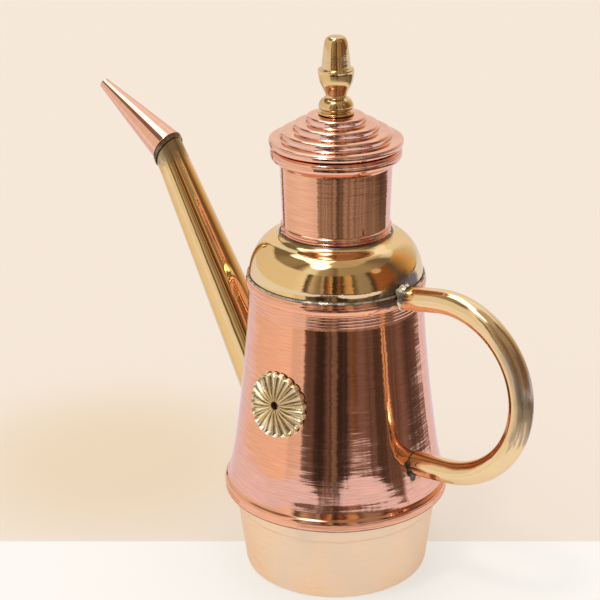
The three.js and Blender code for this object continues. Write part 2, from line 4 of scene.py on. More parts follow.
import bmesh
import bpy
from mathutils import Matrix, Vector, noise


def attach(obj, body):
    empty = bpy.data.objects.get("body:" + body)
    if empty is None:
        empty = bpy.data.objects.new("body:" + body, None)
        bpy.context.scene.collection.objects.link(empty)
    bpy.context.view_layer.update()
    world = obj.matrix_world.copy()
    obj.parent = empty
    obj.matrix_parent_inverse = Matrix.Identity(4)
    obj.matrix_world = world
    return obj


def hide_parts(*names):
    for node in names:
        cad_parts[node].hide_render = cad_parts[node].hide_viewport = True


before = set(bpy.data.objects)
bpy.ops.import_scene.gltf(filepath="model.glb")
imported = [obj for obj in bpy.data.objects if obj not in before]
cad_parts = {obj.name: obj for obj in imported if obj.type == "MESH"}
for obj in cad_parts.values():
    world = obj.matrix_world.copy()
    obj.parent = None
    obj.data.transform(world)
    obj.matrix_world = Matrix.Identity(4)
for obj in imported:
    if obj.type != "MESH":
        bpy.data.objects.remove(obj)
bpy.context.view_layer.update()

bl_info = {
    "name": "Oil Dispenser",
    "version": (1, 0, 0),
    "blender": (4, 5, 0),
    "location": "View3D > Sidebar > Dispenser",
    "description": "Turned, drawn and soldered pieces of an oil dispenser, with their finishes",
    "category": "Object",
}

# Metres in a millimetre, then the space between two pieces and the sheet's thickness in millimetres
MM = 0.001
GAP = 0.3
SHEET = 1.0

# Levels and radii of the vessel, in millimetres
WALL_START = 53.0
WALL_END = 153.2
WALL_FOOT = 55.3
WALL_TOP = 43.8
WALL_ROWS = 24
RIB_LEVELS = (146.6, 148.2, 149.8, 151.4)
BEAD_TOP = 159.0
BEAD_CLEAR = 44.6
DOME_FOOT = 159.3
DOME_RISE = 21.1
DOME_RADIUS = 43.4
DOME_TURN = math.radians(66)
DOME_ROWS = 26
NECK_BEAD = 27.3
SKIRT_RADIUS = 25.96
SKIRT_FOOT = 212.8
SKIRT_TOP = 231.5
TREAD_LEVEL = 229.6
TREAD_RISE = 3.8
TREAD_RADII = (27.26, 20.93, 14.6)
LID_TOP = 241.0
SCREW_HOLE_RADIUS = 2.3
KNOB_LEVEL = 241.3
KNOB_BORE_TOP = 250.1
KNOB_HEIGHT = 37.6
KNOB_RADIUS = 9.1

# The swaged bead at the body's top: level and radius of its corners
BEAD = (
    (152.6, WALL_TOP), (153.2, 44.3), (154.2, 44.8), (155.4, 45.05), (156.6, 45.05), (157.6, 44.8),
    (158.2, 44.3),
)

# The spout and the handle: slants in the XZ plane, lengths and radii
SPOUT_TURN = math.radians(59.7 - 90)
TIP_TURN = math.radians(29.7 - 90)
SPOUT_LENGTH = 132.0
SPOUT_FOOT_RADIUS = 13.7
SPOUT_HOLE_RADIUS = 12.2
SPOUT_DRILL_LENGTH = 48.0
SPOUT_STEPS = 64
JOINT_BAND = 2.0
JOINT_PROUD = 0.75
SPOUT_JOINT_RADIUS = 8.1
TIP_RADIUS = 9.3
TIP_END_RADIUS = 2.9
TIP_LENGTH = 53.5
TUBE_RADIUS = 6.0
TOP_TILT = math.radians(10)
FOOT_TILT = math.radians(5.7)
HANDLE_LEG = 18.7
TOP_BEND = 42.5
TOP_SEAT = Vector((45.0, 0, 156.8))

# The rosette: its level, its radius and its place round the body
ROSETTE_LEVEL = 104.3
ROSETTE_RADIUS = 16.7
ROSETTE_TURN = math.radians(-87.3)


def left_to_bead(level):
    """How much of the wall is still above a level: 1 at its foot, 0 at the bead."""
    return 1 - min(max((level - WALL_START) / (WALL_END - WALL_START), 0), 1)


def seat_radius(level):
    """The radius that the rosette, the spout and the handle are laid out on."""
    return WALL_TOP + (WALL_FOOT - WALL_TOP) * left_to_bead(level) ** 1.47


def wall_radius(level):
    """The body's outer radius between its fold and its bead, with the flare of its foot."""
    above = left_to_bead(level)
    return WALL_TOP + (WALL_FOOT - WALL_TOP) * (0.9 * above**1.4 + 0.1 * above**8)


def dome_point(turn, inset=0.0):
    """A point of the shoulder's quarter ellipse: turn 0 at its foot, a right angle at its top."""
    across = DOME_RADIUS - NECK_BEAD - inset
    up = DOME_RISE - inset
    return (NECK_BEAD + across * math.cos(turn), DOME_FOOT + up * math.sin(turn))


def vessel_radius(level):
    """The radius that spout and handle are seated on, at a level."""
    corners = (*BEAD[:5], (BEAD_TOP, BEAD_CLEAR))
    if level <= corners[0][0]:
        return wall_radius(level)
    for (low, inner), (high, outer) in zip(corners, corners[1:]):
        if level <= high:
            return inner + (outer - inner) * (level - low) / (high - low)
    rise = min((level - DOME_FOOT) / DOME_RISE, 1)
    dome = NECK_BEAD + (DOME_RADIUS - NECK_BEAD) * math.sqrt(1 - rise**2)
    return max(dome, BEAD_CLEAR - max(level - 160, 0) * 1.6)


def seated(point, line, reach, clearance=GAP):
    """Where a point, slid along a line that leads away from the vessel, comes to lie on the vessel."""
    low, high = -reach, reach
    for _ in range(26):
        middle = (low + high) / 2
        place = point + line * middle
        if math.hypot(place.x, place.y) < vessel_radius(place.z) + clearance:
            low = middle
        else:
            high = middle
    return point + line * high


def met(seat, line, side, radius, taper=0.0):
    """How far along its line the wall of a tapered tube meets the vessel, at one side of the tube."""
    row = 0.0
    for _ in range(4 if taper else 1):
        edge = seat + side * (radius + taper * row)
        row = (seated(edge, line, radius * 5) - edge).dot(line)
    return row


WALL_FOOT_SEAT = Vector((seat_radius(70.0), 0, 70.0))
SPOUT_SEAT = Vector((-seat_radius(88.0), 0, 88.0))
SPOUT_LINE = Vector((math.sin(SPOUT_TURN), 0, math.cos(SPOUT_TURN)))
TIP_LINE = Vector((math.sin(TIP_TURN), 0, math.cos(TIP_TURN)))
SPOUT_JOINT = SPOUT_SEAT + SPOUT_LINE * SPOUT_LENGTH
SPOUT_TAPER = (SPOUT_JOINT_RADIUS - SPOUT_FOOT_RADIUS) / SPOUT_LENGTH

# Where the soldering iron left its grey: places and reaches
TOP_SMEARS = (
    (Vector((42.6, 7.5, 161.6)), 8.0), (Vector((43.0, 0.5, 162.4)), 9.0),
    (Vector((42.8, -6.5, 160.4)), 8.5), (Vector((42.0, -12.5, 158.8)), 6.0),
    (Vector((41.4, -16.0, 158.2)), 3.5),
)
FOOT_SMEARS = (
    (Vector((51.4, -6.7, 71.2)), 2.4), (Vector((52.2, -5.2, 67.0)), 2.9),
    (Vector((52.9, -3.4, 63.5)), 2.6),
)

# The centre of the handle's bend, along whose outside the darker, rougher streaks lie
BEND_CENTRE = Vector((70.8, 0, 118.2))

# The camera, at the photograph's angle: its place in metres, degrees, and the lens in millimetres
CAMERA_PLACE = (0.5355, -0.6382, 0.4772)
CAMERA_TILT = 68.215
CAMERA_TURN = 40
CAMERA_LENS = 107.31
CAMERA_SHIFT = -0.0601

# The key lamp: degrees round the vessel and up
LAMP_TURN = -89
LAMP_RISE = 66


# Tones of the room that the metal mirrors
CREAM = (0.8, 0.82, 0.78)
PEACH = (0.97, 0.86, 0.7)
SAND = (0.48, 0.38, 0.27)
OLIVE = (0.25, 0.2, 0.13)
UMBER = (0.12, 0.085, 0.065)
NIGHT = (0.04, 0.03, 0.024)
RUST = (0.3, 0.11, 0.045)
AMBER = (0.55, 0.33, 0.14)
SKY = (0.98, 0.92, 0.83)
DAWN = (0.9, 0.93, 1.06)
WHITE = (1.0, 0.97, 0.9)
GLARE = (2.5, 2.5, 2.4)

# The room's bands from the floor up: degrees to the right of the camera, tone, and its share
UNDER = (
    (-180, CREAM, 1), (-152, CREAM, 1), (-148, SAND, 0.8), (-138, SAND, 0.9),
    (-133, PEACH, 0.85), (-80, PEACH, 1), (-55, PEACH, 0.95), (-40, PEACH, 0.85),
    (-37, SAND, 0.7), (-20, SAND, 0.82), (-12, SAND, 0.7), (-9, OLIVE, 0.9), (-6, SAND, 0.85),
    (0, SAND, 0.7), (3, OLIVE, 0.7), (14, OLIVE, 0.65), (17, SAND, 1.1), (22, SAND, 1.0),
    (25, UMBER, 1.6), (29, OLIVE, 1.2), (34, SAND, 0.75), (60, SAND, 0.66), (95, OLIVE, 1),
    (125, OLIVE, 0.75), (145, OLIVE, 1.2), (160, CREAM, 0.8), (180, CREAM, 1),
)
LOW = (
    (-180, CREAM, 1), (-150, CREAM, 1), (-138, PEACH, 1), (-112, PEACH, 0.92), (-58, PEACH, 1),
    (-55, PEACH, 0.84), (-44, PEACH, 0.86), (-41, PEACH, 0.95), (-38, UMBER, 1.1),
    (-28, UMBER, 1.2), (-24, NIGHT, 1.3), (-14, NIGHT, 1), (-11, UMBER, 1.2), (-5, UMBER, 1),
    (-3, SAND, 0.55), (0, SAND, 0.45), (2, NIGHT, 1.2), (13, NIGHT, 1.2), (16, UMBER, 1.6),
    (18, AMBER, 0.42), (22, AMBER, 0.34), (24, UMBER, 1.1), (30, UMBER, 1.5), (44, UMBER, 1.3),
    (52, NIGHT, 1.4), (62, UMBER, 1.2), (85, UMBER, 1.5), (100, NIGHT, 1.8), (118, UMBER, 1.3),
    (140, UMBER, 1.2), (146, DAWN, 0.85),
)
FOOT = (
    (-180, DAWN, 0.85), (-120, DAWN, 0.95), (-85, PEACH, 1.03), (-42, PEACH, 1.08),
    (-39, UMBER, 1.4), (-22, UMBER, 1), (-8, UMBER, 1.4), (0, UMBER, 1), (10, NIGHT, 1.6),
    (24, UMBER, 1.6), (40, UMBER, 1.3), (52, NIGHT, 1.6), (58, UMBER, 1.8), (70, UMBER, 2.4),
    (95, UMBER, 2), (112, UMBER, 1.4), (120, NIGHT, 1.6), (124, DAWN, 0.9), (180, DAWN, 0.9),
)
BRINK = (
    (-180, DAWN, 0.85), (-100, PEACH, 1), (-46, PEACH, 1), (-42, UMBER, 1), (-20, UMBER, 1.3),
    (0, NIGHT, 1.5), (20, UMBER, 1.5), (45, UMBER, 1.6), (90, UMBER, 1.2), (130, NIGHT, 1.5),
    (136, DAWN, 0.9), (180, DAWN, 0.9),
)
MIDDLE = (
    (-180, SKY, 1), (-152, SKY, 0.95), (-149, UMBER, 1), (-145, PEACH, 0.85), (-60, PEACH, 0.88),
    (-46, PEACH, 1), (-41, NIGHT, 2), (-36, OLIVE, 1), (-33, SAND, 1.3), (-27, SAND, 0.8),
    (-21, OLIVE, 1), (-17, SAND, 1), (-14, NIGHT, 2), (-10, RUST, 1), (-6, AMBER, 1.2),
    (-3, NIGHT, 1), (2, NIGHT, 1.4), (5, RUST, 1), (9, NIGHT, 1.5), (14, AMBER, 1),
    (20, AMBER, 1.2), (23, UMBER, 1), (31, SAND, 0.75), (44, SAND, 0.7), (50, NIGHT, 1.5),
    (57, RUST, 1.1), (78, RUST, 0.9), (92, UMBER, 1.1), (102, AMBER, 0.6), (122, AMBER, 1.3),
    (138, PEACH, 0.75), (152, SKY, 0.95),
)
HIGH = (
    (-180, CREAM, 1.2), (-156, CREAM, 1.1), (-150, OLIVE, 0.8), (-124, OLIVE, 0.85),
    (-105, OLIVE, 1.4), (-80, OLIVE, 1.3), (-68, UMBER, 1.8), (-60, SAND, 1), (-50, WHITE, 0.95),
    (-35, WHITE, 0.85), (-26, OLIVE, 1.8), (-12, SAND, 0.8), (0, UMBER, 1.8), (6, OLIVE, 1.6),
    (30, SAND, 0.8), (60, SAND, 0.8), (90, UMBER, 1.8), (106, UMBER, 1.8), (118, CREAM, 0.9),
    (140, WHITE, 1.1), (162, WHITE, 1.1), (180, CREAM, 1.2),
)
TOP = (
    (-180, WHITE, 1), (-165, GLARE, 1), (-38, GLARE, 1), (-22, SAND, 1.3), (20, SAND, 1.1),
    (120, SAND, 1.2), (145, WHITE, 0.9), (180, WHITE, 1),
)

# Heights, in degrees, between which one band gives way to the next
LOW_EDGE = (-21.5, -20.5)
FOOT_EDGE = (-9.4, -8.8)
BRINK_EDGE = (-4.6, -4.1)
MIDDLE_EDGE = (-2.6, -2.1)
HIGH_EDGE = (38, 43)
TOP_EDGE = (62, 67)


def colour_field(name, description, default):
    return bpy.props.FloatVectorProperty(
        name=name, description=description, subtype="COLOR", size=3, default=default
    )


class DispenserSizes(bpy.types.PropertyGroup):
    """Sizes of the finished pieces"""

    steps: bpy.props.IntProperty(
        name="Turning steps", description="Steps round a turned piece", default=128, min=24, max=256
    )
    rounding: bpy.props.FloatProperty(
        name="Edge rounding", description="Radius of the worn edges", default=0.00035, unit="LENGTH"
    )
    flutes: bpy.props.IntProperty(
        name="Flutes", description="Flutes of the rosette", default=20, min=6, max=40
    )
    flute_depth: bpy.props.FloatProperty(
        name="Flute depth", description="Depth of the rosette's flutes", default=0.0019, unit="LENGTH"
    )


class DispenserFinishes(bpy.types.PropertyGroup):
    """Colours of the metals"""

    copper: colour_field("Copper", "Polished copper", (0.95, 0.49, 0.34))
    brass: colour_field("Brass", "Polished brass", (0.88, 0.64, 0.34))
    pale_brass: colour_field("Pale brass", "Satin brass", (0.95, 0.69, 0.46))
    solder: colour_field("Solder", "Tin solder", (0.5, 0.46, 0.4))


class DispenserStage(bpy.types.PropertyGroup):
    """Colours and light of the stage"""

    table: colour_field("Table", "Table colour", (0.96, 0.94, 0.9))
    backdrop: colour_field("Backdrop", "Backdrop colour", (0.88, 0.78, 0.68))
    # The glow is painted shade: a darker, warmer patch of the backdrop.
    glow: colour_field("Glow", "Warmer patch of the backdrop", (0.83, 0.68, 0.51))
    light: colour_field("Room light", "Even light of the room", (1.0, 0.97, 0.93))
    key: bpy.props.FloatProperty(name="Key light", description="Strength of the key lamp", default=0.35)


class Nodes:
    """A node tree that is being written: adds nodes and joins their sockets."""

    def __init__(self, tree):
        self.tree = tree
        tree.nodes.clear()

    def add(self, kind, inputs=None, **settings):
        node = self.tree.nodes.new(kind)
        for name, value in settings.items():
            setattr(node, name, value)
        for key, value in (inputs or {}).items():
            if isinstance(value, bpy.types.NodeSocket):
                self.tree.links.new(value, node.inputs[key])
            else:
                node.inputs[key].default_value = value
        return node

    def math(self, operation, *values):
        return self.add("ShaderNodeMath", dict(enumerate(values)), operation=operation).outputs[0]

    def vector(self, operation, *values, scale=None):
        """A vector sum: a number for a length, a distance or a dot product, and else a vector."""
        inputs = dict(enumerate(values))
        if scale is not None:
            inputs["Scale"] = scale
        node = self.add("ShaderNodeVectorMath", inputs, operation=operation)
        return node.outputs["Value" if operation in {"LENGTH", "DISTANCE", "DOT_PRODUCT"} else "Vector"]

    def spread(self, value, low, high, start=0.0, end=1.0):
        inputs = {"Value": value, 1: low, 2: high, 3: start, 4: end}
        return self.add("ShaderNodeMapRange", inputs, interpolation_type="SMOOTHSTEP").outputs[0]

    def ramp(self, factor, stops):
        node = self.add("ShaderNodeValToRGB", {0: factor})
        elements = node.color_ramp.elements
        while len(elements) < len(stops):
            elements.new(1.0)
        for element, (place, colour) in zip(elements, stops):
            element.position = place
            element.color = (*colour, 1)
        return node.outputs[0]

    def mix(self, factor, first, second):
        inputs = {0: factor, 6: first, 7: second}
        return self.add("ShaderNodeMix", inputs, data_type="RGBA").outputs[2]

    def noise(self, vector, scale, detail=2.0, distortion=0.0):
        inputs = {"Vector": vector, "Scale": scale, "Detail": detail, "Distortion": distortion}
        return self.add("ShaderNodeTexNoise", inputs).outputs[0]

    def surface(self, **values):
        """The shader, its sockets named with underscores, joined to the material's output."""
        inputs = {name.replace("_", " ").title(): value for name, value in values.items()}
        shader = self.add("ShaderNodeBsdfPrincipled", inputs)
        self.add("ShaderNodeOutputMaterial", {0: shader.outputs[0]})

    def between(self, value, low, high, blur):
        """1 between two values, 0 outside them."""
        above = self.spread(value, low - blur, low + blur)
        return self.math("MULTIPLY", above, self.spread(value, high + blur, high - blur))

    def place(self):
        return self.add("ShaderNodeTexCoord").outputs["Object"]

    def mapped(self, scale, turn=(0, 0, 0)):
        """Object coordinates, turned and then scaled."""
        turned = self.add("ShaderNodeMapping", {"Vector": self.place(), "Rotation": turn}).outputs[0]
        return self.add("ShaderNodeMapping", {"Vector": turned, "Scale": scale}).outputs[0]


def rgba(colour):
    return (*colour, 1)


def shaded(colour, share):
    return tuple(channel * share for channel in colour)


def paler(colour, share):
    return tuple(channel + (0.93 - channel) * share for channel in colour)


# Finishes


def material_nodes(name):
    """A new material and the nodes that it is to hold."""
    material = bpy.data.materials.new(name)
    material.use_nodes = True
    return material, Nodes(material.node_tree)


def solder_and_shade(nodes, spots, seams_and_shade):
    """A soft mask round each spot (place, reach) and past each seam level: solder's grey, and at some levels
    painted shade.
    """
    place = nodes.place()
    ragged = nodes.noise(place, 330.0, 4.0)
    mask = 0.0
    for spot, reach in spots:
        away = nodes.vector("DISTANCE", place, spot * MM)
        size = reach * MM
        away = nodes.math("ADD", away, nodes.math("MULTIPLY_ADD", ragged, size * 0.5, -size * 0.25))
        mask = nodes.math("MAXIMUM", mask, nodes.spread(away, size, size * 0.5))
    for start, full in seams_and_shade:
        level = nodes.add("ShaderNodeSeparateXYZ", {0: place}).outputs[2]
        level = nodes.math("ADD", level, nodes.math("MULTIPLY_ADD", ragged, 0.0006, -0.0003))
        mask = nodes.math("MAXIMUM", mask, nodes.spread(level, start * MM, full * MM))
    return mask


def mottled(nodes):
    """A mask of the base cup's uneven satin."""
    patches = nodes.noise(nodes.mapped((1, 1, 0.5)), 40.0, 2.0)
    return nodes.math("MULTIPLY", nodes.spread(patches, 0.15, 0.8), 0.9)


def dulled(nodes):
    """A mask of darker, rougher streaks along the outside of the handle's bend."""
    place = nodes.place()
    away = nodes.vector("SUBTRACT", place, BEND_CENTRE * MM)
    parts = nodes.add("ShaderNodeSeparateXYZ", {0: away}).outputs
    flat = nodes.add("ShaderNodeCombineXYZ", {0: parts[0], 2: parts[2]}).outputs[0]
    out = nodes.vector("LENGTH", flat)
    turn = nodes.math("ARCTAN2", parts[2], parts[0])
    stretches = ((turn, 3.0), (out, 600.0), (parts[1], 600.0))
    scaled = [nodes.math("MULTIPLY", value, share) for value, share in stretches]
    streak = nodes.noise(nodes.add("ShaderNodeCombineXYZ", dict(enumerate(scaled))).outputs[0], 1.0, 3.0)
    end = nodes.math("ADD", turn, nodes.math("MULTIPLY_ADD", streak, 0.8, -0.4))
    ends = nodes.math("MULTIPLY", nodes.spread(end, -0.44, -0.34), nodes.spread(end, 0.95, 0.55))
    side = nodes.math("MULTIPLY", nodes.spread(out, 0.0415, 0.0435), nodes.spread(parts[1], 0.0065, 0.0035))
    whole = nodes.math("MULTIPLY", ends, side)
    return nodes.math("MULTIPLY", whole, nodes.spread(streak, 0.35, 0.6, 0.5, 1.0))


def metal(
    name, colour, roughness, lines, turn=0.0, tilt=1.0, wave=1.0, sway=0.0, tint=0.88, spots=(), seams_and_shade=(),
    mask=None, grime_and_shade=(0.14, 0.12, 0.125),
):
    """Polished metal with the tool's fine lines: lines per metre, turn is the piece's own slant.

    tilt and sway say how far the lines lean the surface up or down and sideways, and wave how far the slow
    waves of the sheet do, in degrees. The last colour goes where the mask, or else the spots and levels, lie:
    solder's grey, the cup's uneven satin, the handle's darker streaks, and at some levels painted shade."""
    material, nodes = material_nodes(name)
    lean = (0, turn, 0)
    fine = nodes.noise(nodes.mapped((45, 45, lines), lean), 1.0, 2.0)
    broad = nodes.noise(nodes.mapped((50, 50, lines / 2.5), lean), 1.0, 2.0)
    uneven = nodes.noise(nodes.mapped((26, 26, 40), lean), 1.0, 2.0)
    grain = nodes.noise(nodes.mapped((90, 90, lines * 2.6), lean), 1.0, 1.0)
    colours = nodes.mix(nodes.spread(grain, 0.3, 0.7), rgba(shaded(colour, tint)), rgba(colour))
    rough = nodes.spread(uneven, 0.3, 0.7, roughness * 0.8, roughness * 1.25)
    if mask or spots or seams_and_shade:
        mask = mask(nodes) if mask else solder_and_shade(nodes, spots, seams_and_shade)
        colours = nodes.mix(nodes.math("MULTIPLY", mask, 0.9), colours, rgba(grime_and_shade))
        rough = nodes.math("ADD", rough, nodes.math("MULTIPLY", mask, 0.28))
    normal = None
    for height, steps, degrees in ((uneven, 35, wave), (broad, lines / 2.5, tilt), (fine, lines, tilt)):
        inputs = {"Strength": 1.0, "Distance": math.radians(degrees) * 1.4 / steps, "Height": height}
        if normal:
            inputs["Normal"] = normal
        normal = nodes.add("ShaderNodeBump", inputs).outputs[0]
    if sway:
        place = nodes.place()
        along = nodes.vector("NORMALIZE", nodes.vector("CROSS_PRODUCT", (0, 0, 1), place))
        streaks = nodes.noise(nodes.mapped((22, 22, lines * 0.7)), 1.0, 2.0)
        swing = nodes.spread(streaks, 0.3, 0.7, -math.radians(sway), math.radians(sway))
        along = nodes.vector("SCALE", along, scale=swing)
        normal = nodes.vector("NORMALIZE", nodes.vector("ADD", normal, along))
    nodes.surface(
        base_color=colours, metallic=1.0, roughness=rough, normal=normal, specular_tint=(0.9, 0.82, 0.78, 1)
    )
    return material


def solder_skin(name, colour, dark):
    """Solder: pale tin with the dark scale of the flux."""
    material, nodes = material_nodes(name)
    grain = nodes.noise(nodes.mapped((1, 1, 1)), 900.0, 3.0)
    patches = nodes.noise(nodes.mapped((1, 1, 1)), 230.0, 3.0)
    colours = nodes.mix(nodes.spread(patches, 0.35, 0.62), rgba(dark), rgba(colour))
    rough = nodes.spread(patches, 0.3, 0.7, 0.5, 0.22)
    bump = nodes.add("ShaderNodeBump", {"Strength": 1.0, "Distance": 0.00012, "Height": grain})
    nodes.surface(base_color=colours, metallic=0.95, roughness=rough, normal=bump.outputs[0])
    return material


def fluted_brass(name):
    """Pale brass, darker down in the rosette's flutes and round its hole, side and back: painted shade,
    partly patina.
    """
    material, nodes = material_nodes(name)
    groove = nodes.add("ShaderNodeAttribute", attribute_name="groove").outputs["Fac"]
    speckle = nodes.noise(nodes.mapped((1, 1, 1)), 700.0, 3.0)
    depth = nodes.math("MULTIPLY_ADD", speckle, 0.3, nodes.math("SUBTRACT", groove, 0.15))
    colours = nodes.ramp(
        depth,
        (
            (0.35, (1.0, 0.89, 0.66)), (0.5, (0.72, 0.56, 0.34)), (0.7, (0.2, 0.13, 0.06)),
            (0.85, (0.05, 0.03, 0.02)),
        ),
    )
    rough = nodes.spread(depth, 0.3, 0.9, 0.34, 0.5)
    bump = nodes.add("ShaderNodeBump", {"Strength": 1.0, "Distance": 0.00006, "Height": speckle})
    nodes.surface(base_color=colours, metallic=1.0, roughness=rough, normal=bump.outputs[0])
    return material


# Shapes


def held(outline, ring):
    """The half section with a point close to both ends of each long run, so that the run shades straight."""
    points = []
    for first, second in zip(outline, outline[1:] + outline[:1] if ring else outline[1:]):
        start, end = Vector(first), Vector(second)
        points.append(first)
        if (end - start).length > 2.2:
            hold = (end - start).normalized() * 0.45
            points += [tuple(start + hold), tuple(end - hold)]
    return points if ring else points + outline[-1:]


def arc(across, level, radius, start, end, steps=6):
    """Points of a rounding in a half section, its angles in degrees: 0 points outwards and 90 up."""
    turns = [math.radians(start + (end - start) * step / steps) for step in range(steps + 1)]
    return [(across + radius * math.cos(turn), level + radius * math.sin(turn)) for turn in turns]


def spun(outline, steps, rounding, ring=True):
    """A turned solid from its half section, [radius, level] in millimetres: a ring, or closed on the axis."""
    form = bmesh.new()
    corners = [form.verts.new((across * MM, 0, level * MM)) for across, level in held(outline, ring)]
    ends = corners[1:] + corners[:1] if ring else corners[1:]
    lines = [form.edges.new(pair) for pair in zip(corners, ends)]
    bmesh.ops.spin(
        form, geom=corners + lines, cent=(0, 0, 0), axis=(0, 0, 1), angle=math.tau, steps=steps,
        use_merge=True,
    )
    bmesh.ops.remove_doubles(form, verts=form.verts, dist=1e-7)
    bmesh.ops.recalc_face_normals(form, faces=form.faces)
    rings = [
        edge
        for edge in form.edges
        if abs(edge.verts[0].co.z - edge.verts[1].co.z) < 1e-7 and edge.calc_face_angle(0) > 0.35
    ]
    bmesh.ops.bevel(
        form,
        geom=rings,
        offset=rounding,
        offset_type="OFFSET",
        segments=3,
        profile=0.5,
        affect="EDGES",
        clamp_overlap=True,
        material=-1,
    )
    return form


def rib(radius, level):
    """The corners of one of the fine turned ribs below the bead."""
    proud = radius + 0.06
    return [(radius, level - 0.4), (proud, level - 0.15), (proud, level + 0.15), (radius, level + 0.4)]


def laid(form, turn, foot):
    """Lays a piece made along +Z along a slanted line in the XZ plane."""
    place = Matrix.Translation(foot * MM) @ Matrix.Rotation(turn, 4, "Y")
    bmesh.ops.transform(form, matrix=place, verts=form.verts)
    return form


def sliced(form, place, line):
    """Cuts off all that lies past a place, square to a line."""
    geometry = form.verts[:] + form.edges[:] + form.faces[:]
    bmesh.ops.bisect_plane(form, geom=geometry, plane_co=place * MM, plane_no=line, clear_outer=True)


def settled(form, name, node, body, finish):
    """Makes the piece that stands for a CAD node, on its body."""
    for face in form.faces:
        face.smooth = True
    for edge in form.edges:
        edge.smooth = edge.calc_face_angle(0) < math.radians(35)
    mesh = bpy.data.meshes.new(name)
    form.to_mesh(mesh)
    form.free()
    mesh.materials.append(finish)
    piece = bpy.data.objects.new(name, mesh)
    bpy.context.scene.collection.objects.link(piece)
    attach(piece, body)
    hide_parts(node)


def ring_of(form, centre, turn, radius, count):
    """A ring of vertices square to a slanted line."""
    made = bmesh.ops.create_circle(form, cap_ends=False, segments=count, radius=radius * MM)["verts"]
    place = Matrix.Translation(centre * MM) @ Matrix.Rotation(turn, 4, "Y")
    bmesh.ops.transform(form, matrix=place, verts=made)
    return made


def ring_edges(ring):
    members = set(ring)
    return [edge for edge in {e for v in ring for e in v.link_edges} if set(edge.verts) <= members]


def corners_of(geometry):
    return [part for part in geometry if isinstance(part, bmesh.types.BMVert)]


def grown(form, ring):
    """A new ring, joined to a ring by a band of faces."""
    return corners_of(bmesh.ops.extrude_edge_only(form, edges=ring_edges(ring))["geom"])


def pierced(form, tool):
    """Cuts a tool's shape out of a form, and gives the cut form back."""
    things = []
    for shape in (form, tool):
        mesh = bpy.data.meshes.new("stock")
        shape.to_mesh(mesh)
        shape.free()
        things.append(bpy.data.objects.new("stock", mesh))
        bpy.context.scene.collection.objects.link(things[-1])
    stock, cutter = things
    cut = stock.modifiers.new("hole", "BOOLEAN")
    cut.object = cutter
    cut.solver = "EXACT"
    left = bpy.data.meshes.new_from_object(stock.evaluated_get(bpy.context.evaluated_depsgraph_get()))
    form = bmesh.new()
    form.from_mesh(left)
    for mesh in (left, *[thing.data for thing in things]):
        bpy.data.meshes.remove(mesh)
    return form


def fillet(seat, turn, radius, width, rise, seed, lean, taper=0.0, count=96):
    """A ragged collar of solder round the foot of a tube that stands on the vessel, widest at an angle."""
    line = Vector((math.sin(turn), 0, math.cos(turn)))
    form = bmesh.new()
    inner = ring_of(form, seat, turn, radius + 0.12, count)
    outer = ring_of(form, seat, turn, radius + width, count)
    middle = ring_of(form, seat, turn, radius + width * 0.42, count)
    top = ring_of(form, seat, turn, radius + 0.12, count)
    for index in range(count):
        angle = index * math.tau / count
        around = Vector((math.cos(angle), math.sin(angle), 0))
        ragged = noise.noise(around * 2.3 + Vector((0, 0, seed)))
        ragged += 0.5 * noise.noise(around * 6 + Vector((seed, 0, 0)))
        full = 0.1 + 0.9 * max(math.cos(angle - math.radians(lean)), 0) ** 1.5
        ragged = (1 + max(ragged * 1.2, -0.7)) * full - 1
        lift = rise * (1 + ragged)
        moves = (
            (inner, 0, 0), (outer, 0, ragged * 0.85), (middle, 0.02 + lift * 0.4, ragged * 0.3),
            (top, 0.05 + lift, 0),
        )
        for ring, raise_by, swell in moves:
            point = ring[index].co / MM
            outward = point - seat - line * (point - seat).dot(line)
            across = outward.length + swell * width
            outward.normalize()
            row = met(seat, line, outward, across, taper)
            ring[index].co = (seat + outward * (across + taper * row) + line * (row + raise_by)) * MM
    loops = [ring_edges(ring) for ring in (inner, outer, middle, top)]
    for first, second in ((0, 1), (1, 2), (2, 3), (3, 0)):
        bmesh.ops.bridge_loops(form, edges=loops[first] + loops[second])
    bmesh.ops.recalc_face_normals(form, faces=form.faces)
    return form


def cup_outline():
    """The base cup: a tapered wall, a band at its mouth and a flange turned out under the body's fold."""
    return [
        (0, 0), (45.6, 0), (46.9, 1), (47.4, 3), (51.35, 34.0), (51.3, 34.5), (51.5, 34.9), (51.95, 35.4),
        (52.15, 36.0), (52.2, 36.9), (52.7, 43.4), (52.7, 44.7), (56.4, 44.7), (56.4, 45.7), (51.7, 45.7),
        (51.7, 43.4), (50.5, 35), (46.4, 4), (44.6, 1.2), (0, 1.2),
    ]


def body_outline():
    """The body: its foot folded over the cup's flange, the flared wall, four fine ribs and the bead."""
    wall = [WALL_START + (WALL_END - WALL_START) * row / WALL_ROWS for row in range(WALL_ROWS + 1)]
    fold = [
        (53.0, 43.4), (57.1, 43.4), (57.6, 43.9), (57.7, 44.6), (57.7, 47.9), (57.4, 48.8), (56.9, 49.4),
        (56.35, 49.8), (56.0, 50.3), (55.8, 51.0), (55.55, 52.0),
    ]
    outside = [(wall_radius(level), level) for level in wall[:-2]]
    ribs = [corner for level in RIB_LEVELS for corner in rib(wall_radius(level), level)]
    bead = [(radius, level) for level, radius in BEAD]
    mouth = [(44.2, BEAD_TOP), (43.2, BEAD_TOP), (43.2, 155.2)]
    inside = [(wall_radius(level) - SHEET, level) for level in reversed(wall)]
    under = [(56.0, 48.4), (56.7, 47.5), (56.7, 44.4), (53.0, 44.4)]
    return fold + outside + ribs + bead + mouth + inside + under


